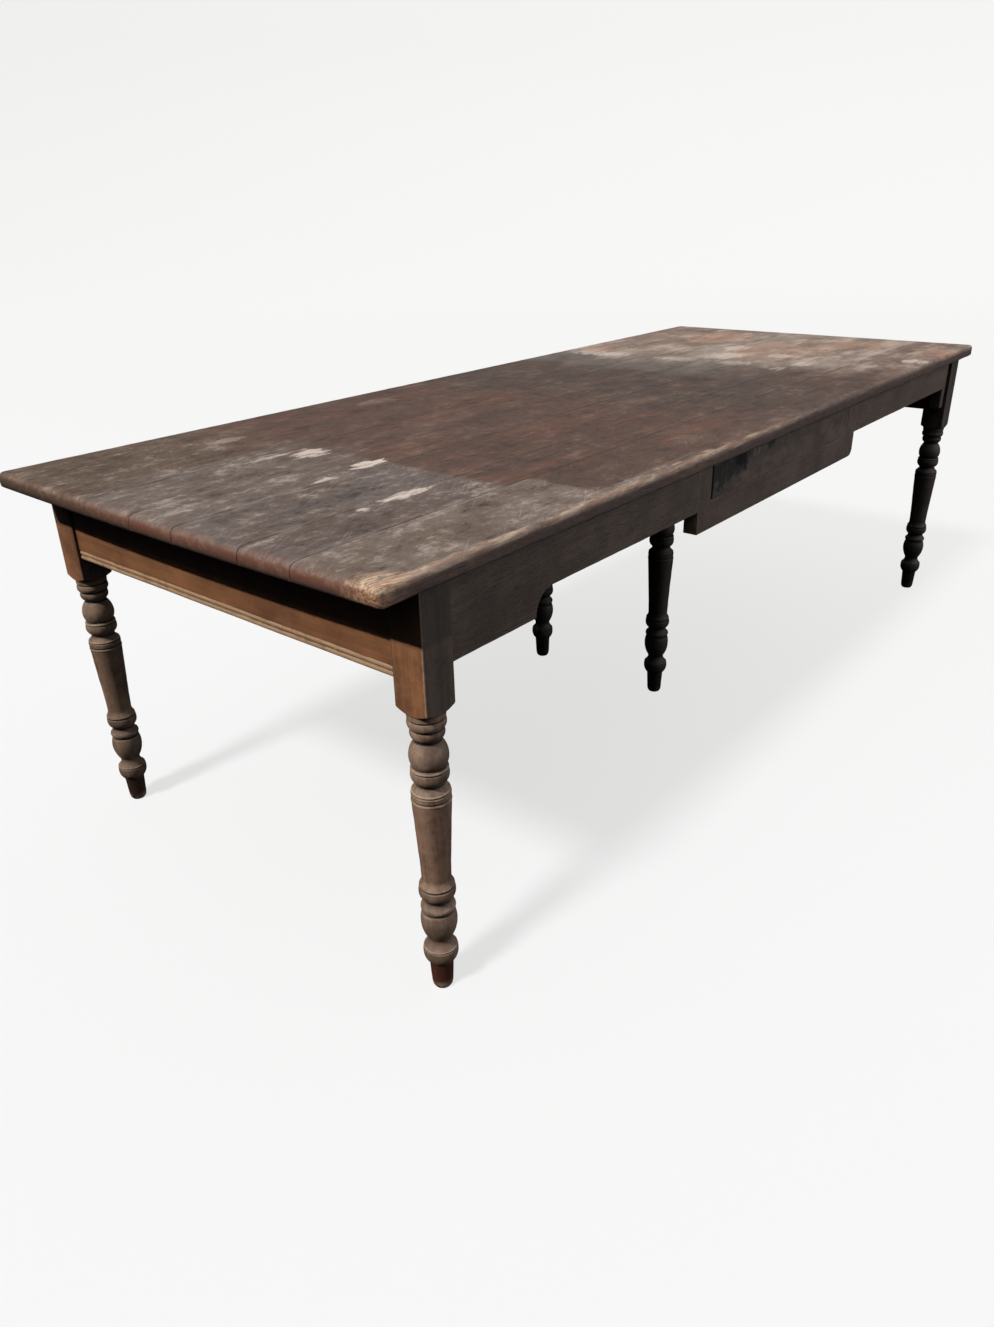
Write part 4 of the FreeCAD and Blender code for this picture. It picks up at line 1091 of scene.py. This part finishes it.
def finish_nodes():
    """Gives the plain boards that stay as they are their own stain, with the grain along each one."""
    plans = {
        "back_apron": ("X", APRON_TONES),
        "drawer_cross_rail_near": ("Y", INNER_TONES),
        "drawer_cross_rail_far": ("Y", INNER_TONES),
        "drawer_runner_near": ("Y", INNER_TONES),
        "drawer_runner_far": ("Y", INNER_TONES),
        "middle_bearer": ("Y", INNER_TONES),
        "drawer_stops": ("X", INNER_TONES),
        "top_batten_near": ("Y", INNER_TONES),
        "top_batten_far": ("Y", INNER_TONES),
        "top_buttons": ("X", INNER_TONES),
        "drawer_side_near": ("Y", DRAWER_TONES),
        "drawer_side_far": ("Y", DRAWER_TONES),
        "drawer_back": ("X", DRAWER_TONES),
        "drawer_bottom": ("X", DRAWER_TONES),
    }
    for seed, (node, (axis, tones)) in enumerate(plans.items(), start=11):
        blackened = BLACK_FRONT_BEFORE if node.startswith("drawer_side") else None
        finish = wood(f"{node}_wood", axis, seed * 0.83, tones, 0.3, black_before=blackened)
        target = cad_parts[node]
        target.data.materials.clear()
        target.data.materials.append(finish)


# Screws under the top

SCREW_RADIUS = 4.2 * MM
SCREW_RISE = 1.1 * MM
SCREW_SUNK = 0.6 * MM
SCREW_DOME = 0.46 * np.pi
SCREW_ROWS, SCREW_COLUMNS = 5, 14
BATTEN_PLACE = 0.7646
BATTEN_FACE = 0.717
BATTEN_STAGGER = 0.020
BATTEN_SPREAD = 0.012
BUTTON_FACE = 0.723
APRON_BUTTONS = (0.560, 0.960)
APRON_BUTTON_LINE = 0.447
RAIL_BUTTON = (1.141, 0.220)


def screw_head(x, y, face):
    """A screw head under a board: a shallow dome whose radius is r cos t and whose drop below the face is
    rise sin t, on a short neck sunk in the wood."""
    turn = np.linspace(0, SCREW_DOME, SCREW_ROWS)
    radius = np.concatenate([[SCREW_RADIUS], SCREW_RADIUS * np.cos(turn)])[:, None]
    level = np.concatenate([[face + SCREW_SUNK], face - SCREW_RISE * np.sin(turn)])[:, None]
    angle = np.linspace(0, 2 * np.pi, SCREW_COLUMNS, endpoint=False)
    grid = np.stack([x + radius * np.cos(angle), y + radius * np.sin(angle), level + 0 * angle], axis=-1)
    return grid, {}


def make_screws():
    """Two screws in each plank through each batten, one through each button."""
    middles = [(front + back) / 2 for front, back in zip(JOINT_LINES, JOINT_LINES[1:])]
    heads = [
        screw_head(end * BATTEN_PLACE + side * BATTEN_STAGGER, middle + side * BATTEN_SPREAD, BATTEN_FACE)
        for end in (-1, 1) for middle in middles for side in (-1, 1)
    ]
    heads += [
        screw_head(end * along, side * APRON_BUTTON_LINE, BUTTON_FACE)
        for end in (-1, 1) for side in (-1, 1) for along in APRON_BUTTONS
    ]
    heads += [
        screw_head(end * RAIL_BUTTON[0], side * RAIL_BUTTON[1], BUTTON_FACE)
        for end in (-1, 1) for side in (-1, 1)
    ]
    join_grids("screw_heads", heads, iron("rusted_iron"), "frame")


# Floor, light and camera

SWEEP_RINGS = (0.01, 3.0, 6.0)
SWEEP_FLAT = 9.0
SWEEP_BEND = 3.0
SWEEP_RISE = 18.0
SWEEP_ROWS, SWEEP_COLUMNS = 16, 96


def make_stage():
    """Pale floor that sweeps up into a backdrop: flat, then a quarter circle, then upright, round all sides."""
    turn = np.linspace(0, np.pi / 2, SWEEP_ROWS)
    bend = SWEEP_FLAT + SWEEP_BEND * np.sin(turn)
    away = np.concatenate([SWEEP_RINGS, bend, [SWEEP_FLAT + SWEEP_BEND]])
    level = np.concatenate([np.zeros(len(SWEEP_RINGS)), SWEEP_BEND * (1 - np.cos(turn)), [SWEEP_RISE]])
    angle = np.linspace(0, 2 * np.pi, SWEEP_COLUMNS, endpoint=False)
    grid = np.stack([
        away[:, None] * np.cos(angle), away[:, None] * np.sin(angle), level[:, None] + 0 * angle
    ], axis=-1)
    rows, columns = grid.shape[:2]
    index = np.arange(rows * columns).reshape(rows, columns)
    ahead = np.roll(index, -1, axis=1)
    quads = np.stack([index[:-1], index[1:], ahead[1:], ahead[:-1]], axis=-1).reshape(-1, 4).tolist()
    mesh = bpy.data.meshes.new("pale_sweep")
    mesh.from_pydata(grid.reshape(-1, 3).tolist(), [], quads + [index[0].tolist()])
    mesh.shade_smooth()
    material, spot = open_material("pale_paper")
    farther = spot.part("X").step(-0.9, 1.8)
    tint = farther.blend((0.985, 0.985, 0.975, 1), (1.125, 1.125, 1.112, 1))
    tint = spot.part("Z").step(0.3, 3.0).blend(tint, (1.17, 1.17, 1.157, 1))
    shade = farther.blend((0.14, 0.14, 0.14, 1), (0.07, 0.07, 0.07, 1))
    glow = tint.node("ShaderNodeEmission", {}, {"Color": tint, "Strength": 0.715})
    matte = shade.node("ShaderNodeBsdfDiffuse", {}, {"Color": shade})
    both = glow.node("ShaderNodeAddShader", {}, {0: glow, 1: matte})
    both.node("ShaderNodeOutputMaterial", {}, {"Surface": both})
    mesh.materials.append(material)
    floor = bpy.data.objects.new("pale_sweep", mesh)
    bpy.context.scene.collection.objects.link(floor)
    floor.visible_diffuse = floor.visible_glossy = floor.visible_shadow = False
    return floor


# Kind, settings, place and direction of each light, and whether it lights the floor alone or all but the floor
LIGHTS = {
    "key": (
        "SUN", {"energy": 3.6, "angle": math.radians(1.2), "color": (1.0, 0.95, 0.88)},
        (0, 0, 4), (1.0, -0.30, -1.07), "EXCLUDE",
    ),
    "drawer_side_fill": ("AREA", {"energy": 110, "size": 3.0}, (2.6, -4.6, 2.2), (-2.4, 4.2, -1.6), "EXCLUDE"),
    "floor_soft": (
        "SUN", {"energy": 4.8, "angle": math.radians(10)}, (0, 0, 5), (0.82, -0.03, -1.0), "INCLUDE",
    ),
}


def make_lights(floor):
    """A fairly small key light from the near end and the back, a weak broad light on the drawer side, a sky that
    is bright overhead and dim round the sides, and a very soft light of its own for the floor."""
    for name, (kind, settings, place, toward, state) in LIGHTS.items():
        data = bpy.data.lights.new(name, kind)
        for key, setting in settings.items():
            setattr(data, key, setting)
        lamp = bpy.data.objects.new(name, data)
        lamp.location = place
        lamp.rotation_euler = Vector(toward).to_track_quat("-Z", "Y").to_euler()
        bpy.context.scene.collection.objects.link(lamp)
        lit = bpy.data.collections.new(f"lit_by_{name}")
        lit.objects.link(floor)
        lit.collection_objects[0].light_linking.link_state = state
        lamp.light_linking.receiver_collection = lit
    world = bpy.data.worlds.new("studio")
    bpy.context.scene.world = world
    world.use_nodes = True
    tree = world.node_tree
    tree.nodes.clear()
    height = Value(tree.nodes.new("ShaderNodeTexCoord").outputs["Generated"]).part("Z")
    tone = height.step(0.28, 1.0).blend((0.009, 0.010, 0.011, 1), (0.84, 0.86, 0.90, 1))
    shade = tone.node("ShaderNodeBackground", {}, {"Color": tone, "Strength": 1.0})
    shade.node("ShaderNodeOutputWorld", {}, {"Surface": shade})


def make_camera():
    """The photograph's camera: turned left, then down, then rolled about its view."""
    yaw, pitch, roll = (math.radians(turn) for turn in CAMERA_TURNS)
    ahead = Vector((-math.sin(yaw) * math.cos(pitch), math.cos(yaw) * math.cos(pitch), math.sin(pitch)))
    side = Vector((math.cos(yaw), math.sin(yaw), 0))
    up = side.cross(ahead)
    right = side * math.cos(roll) + up * math.sin(roll)
    top = up * math.cos(roll) - side * math.sin(roll)
    data = bpy.data.cameras.new("camera")
    data.lens = CAMERA_LENS
    data.sensor_width = CAMERA_SENSOR
    camera = bpy.data.objects.new("camera", data)
    camera.matrix_world = Matrix((right, top, -ahead)).transposed().to_4x4()
    camera.location = CAMERA_PLACE
    bpy.context.scene.collection.objects.link(camera)
    bpy.context.scene.camera = camera
    bpy.context.scene.view_settings.view_transform = "Standard"


make_top()
make_legs()
make_front()
make_rails()
make_screws()
finish_nodes()
make_lights(make_stage())
make_camera()
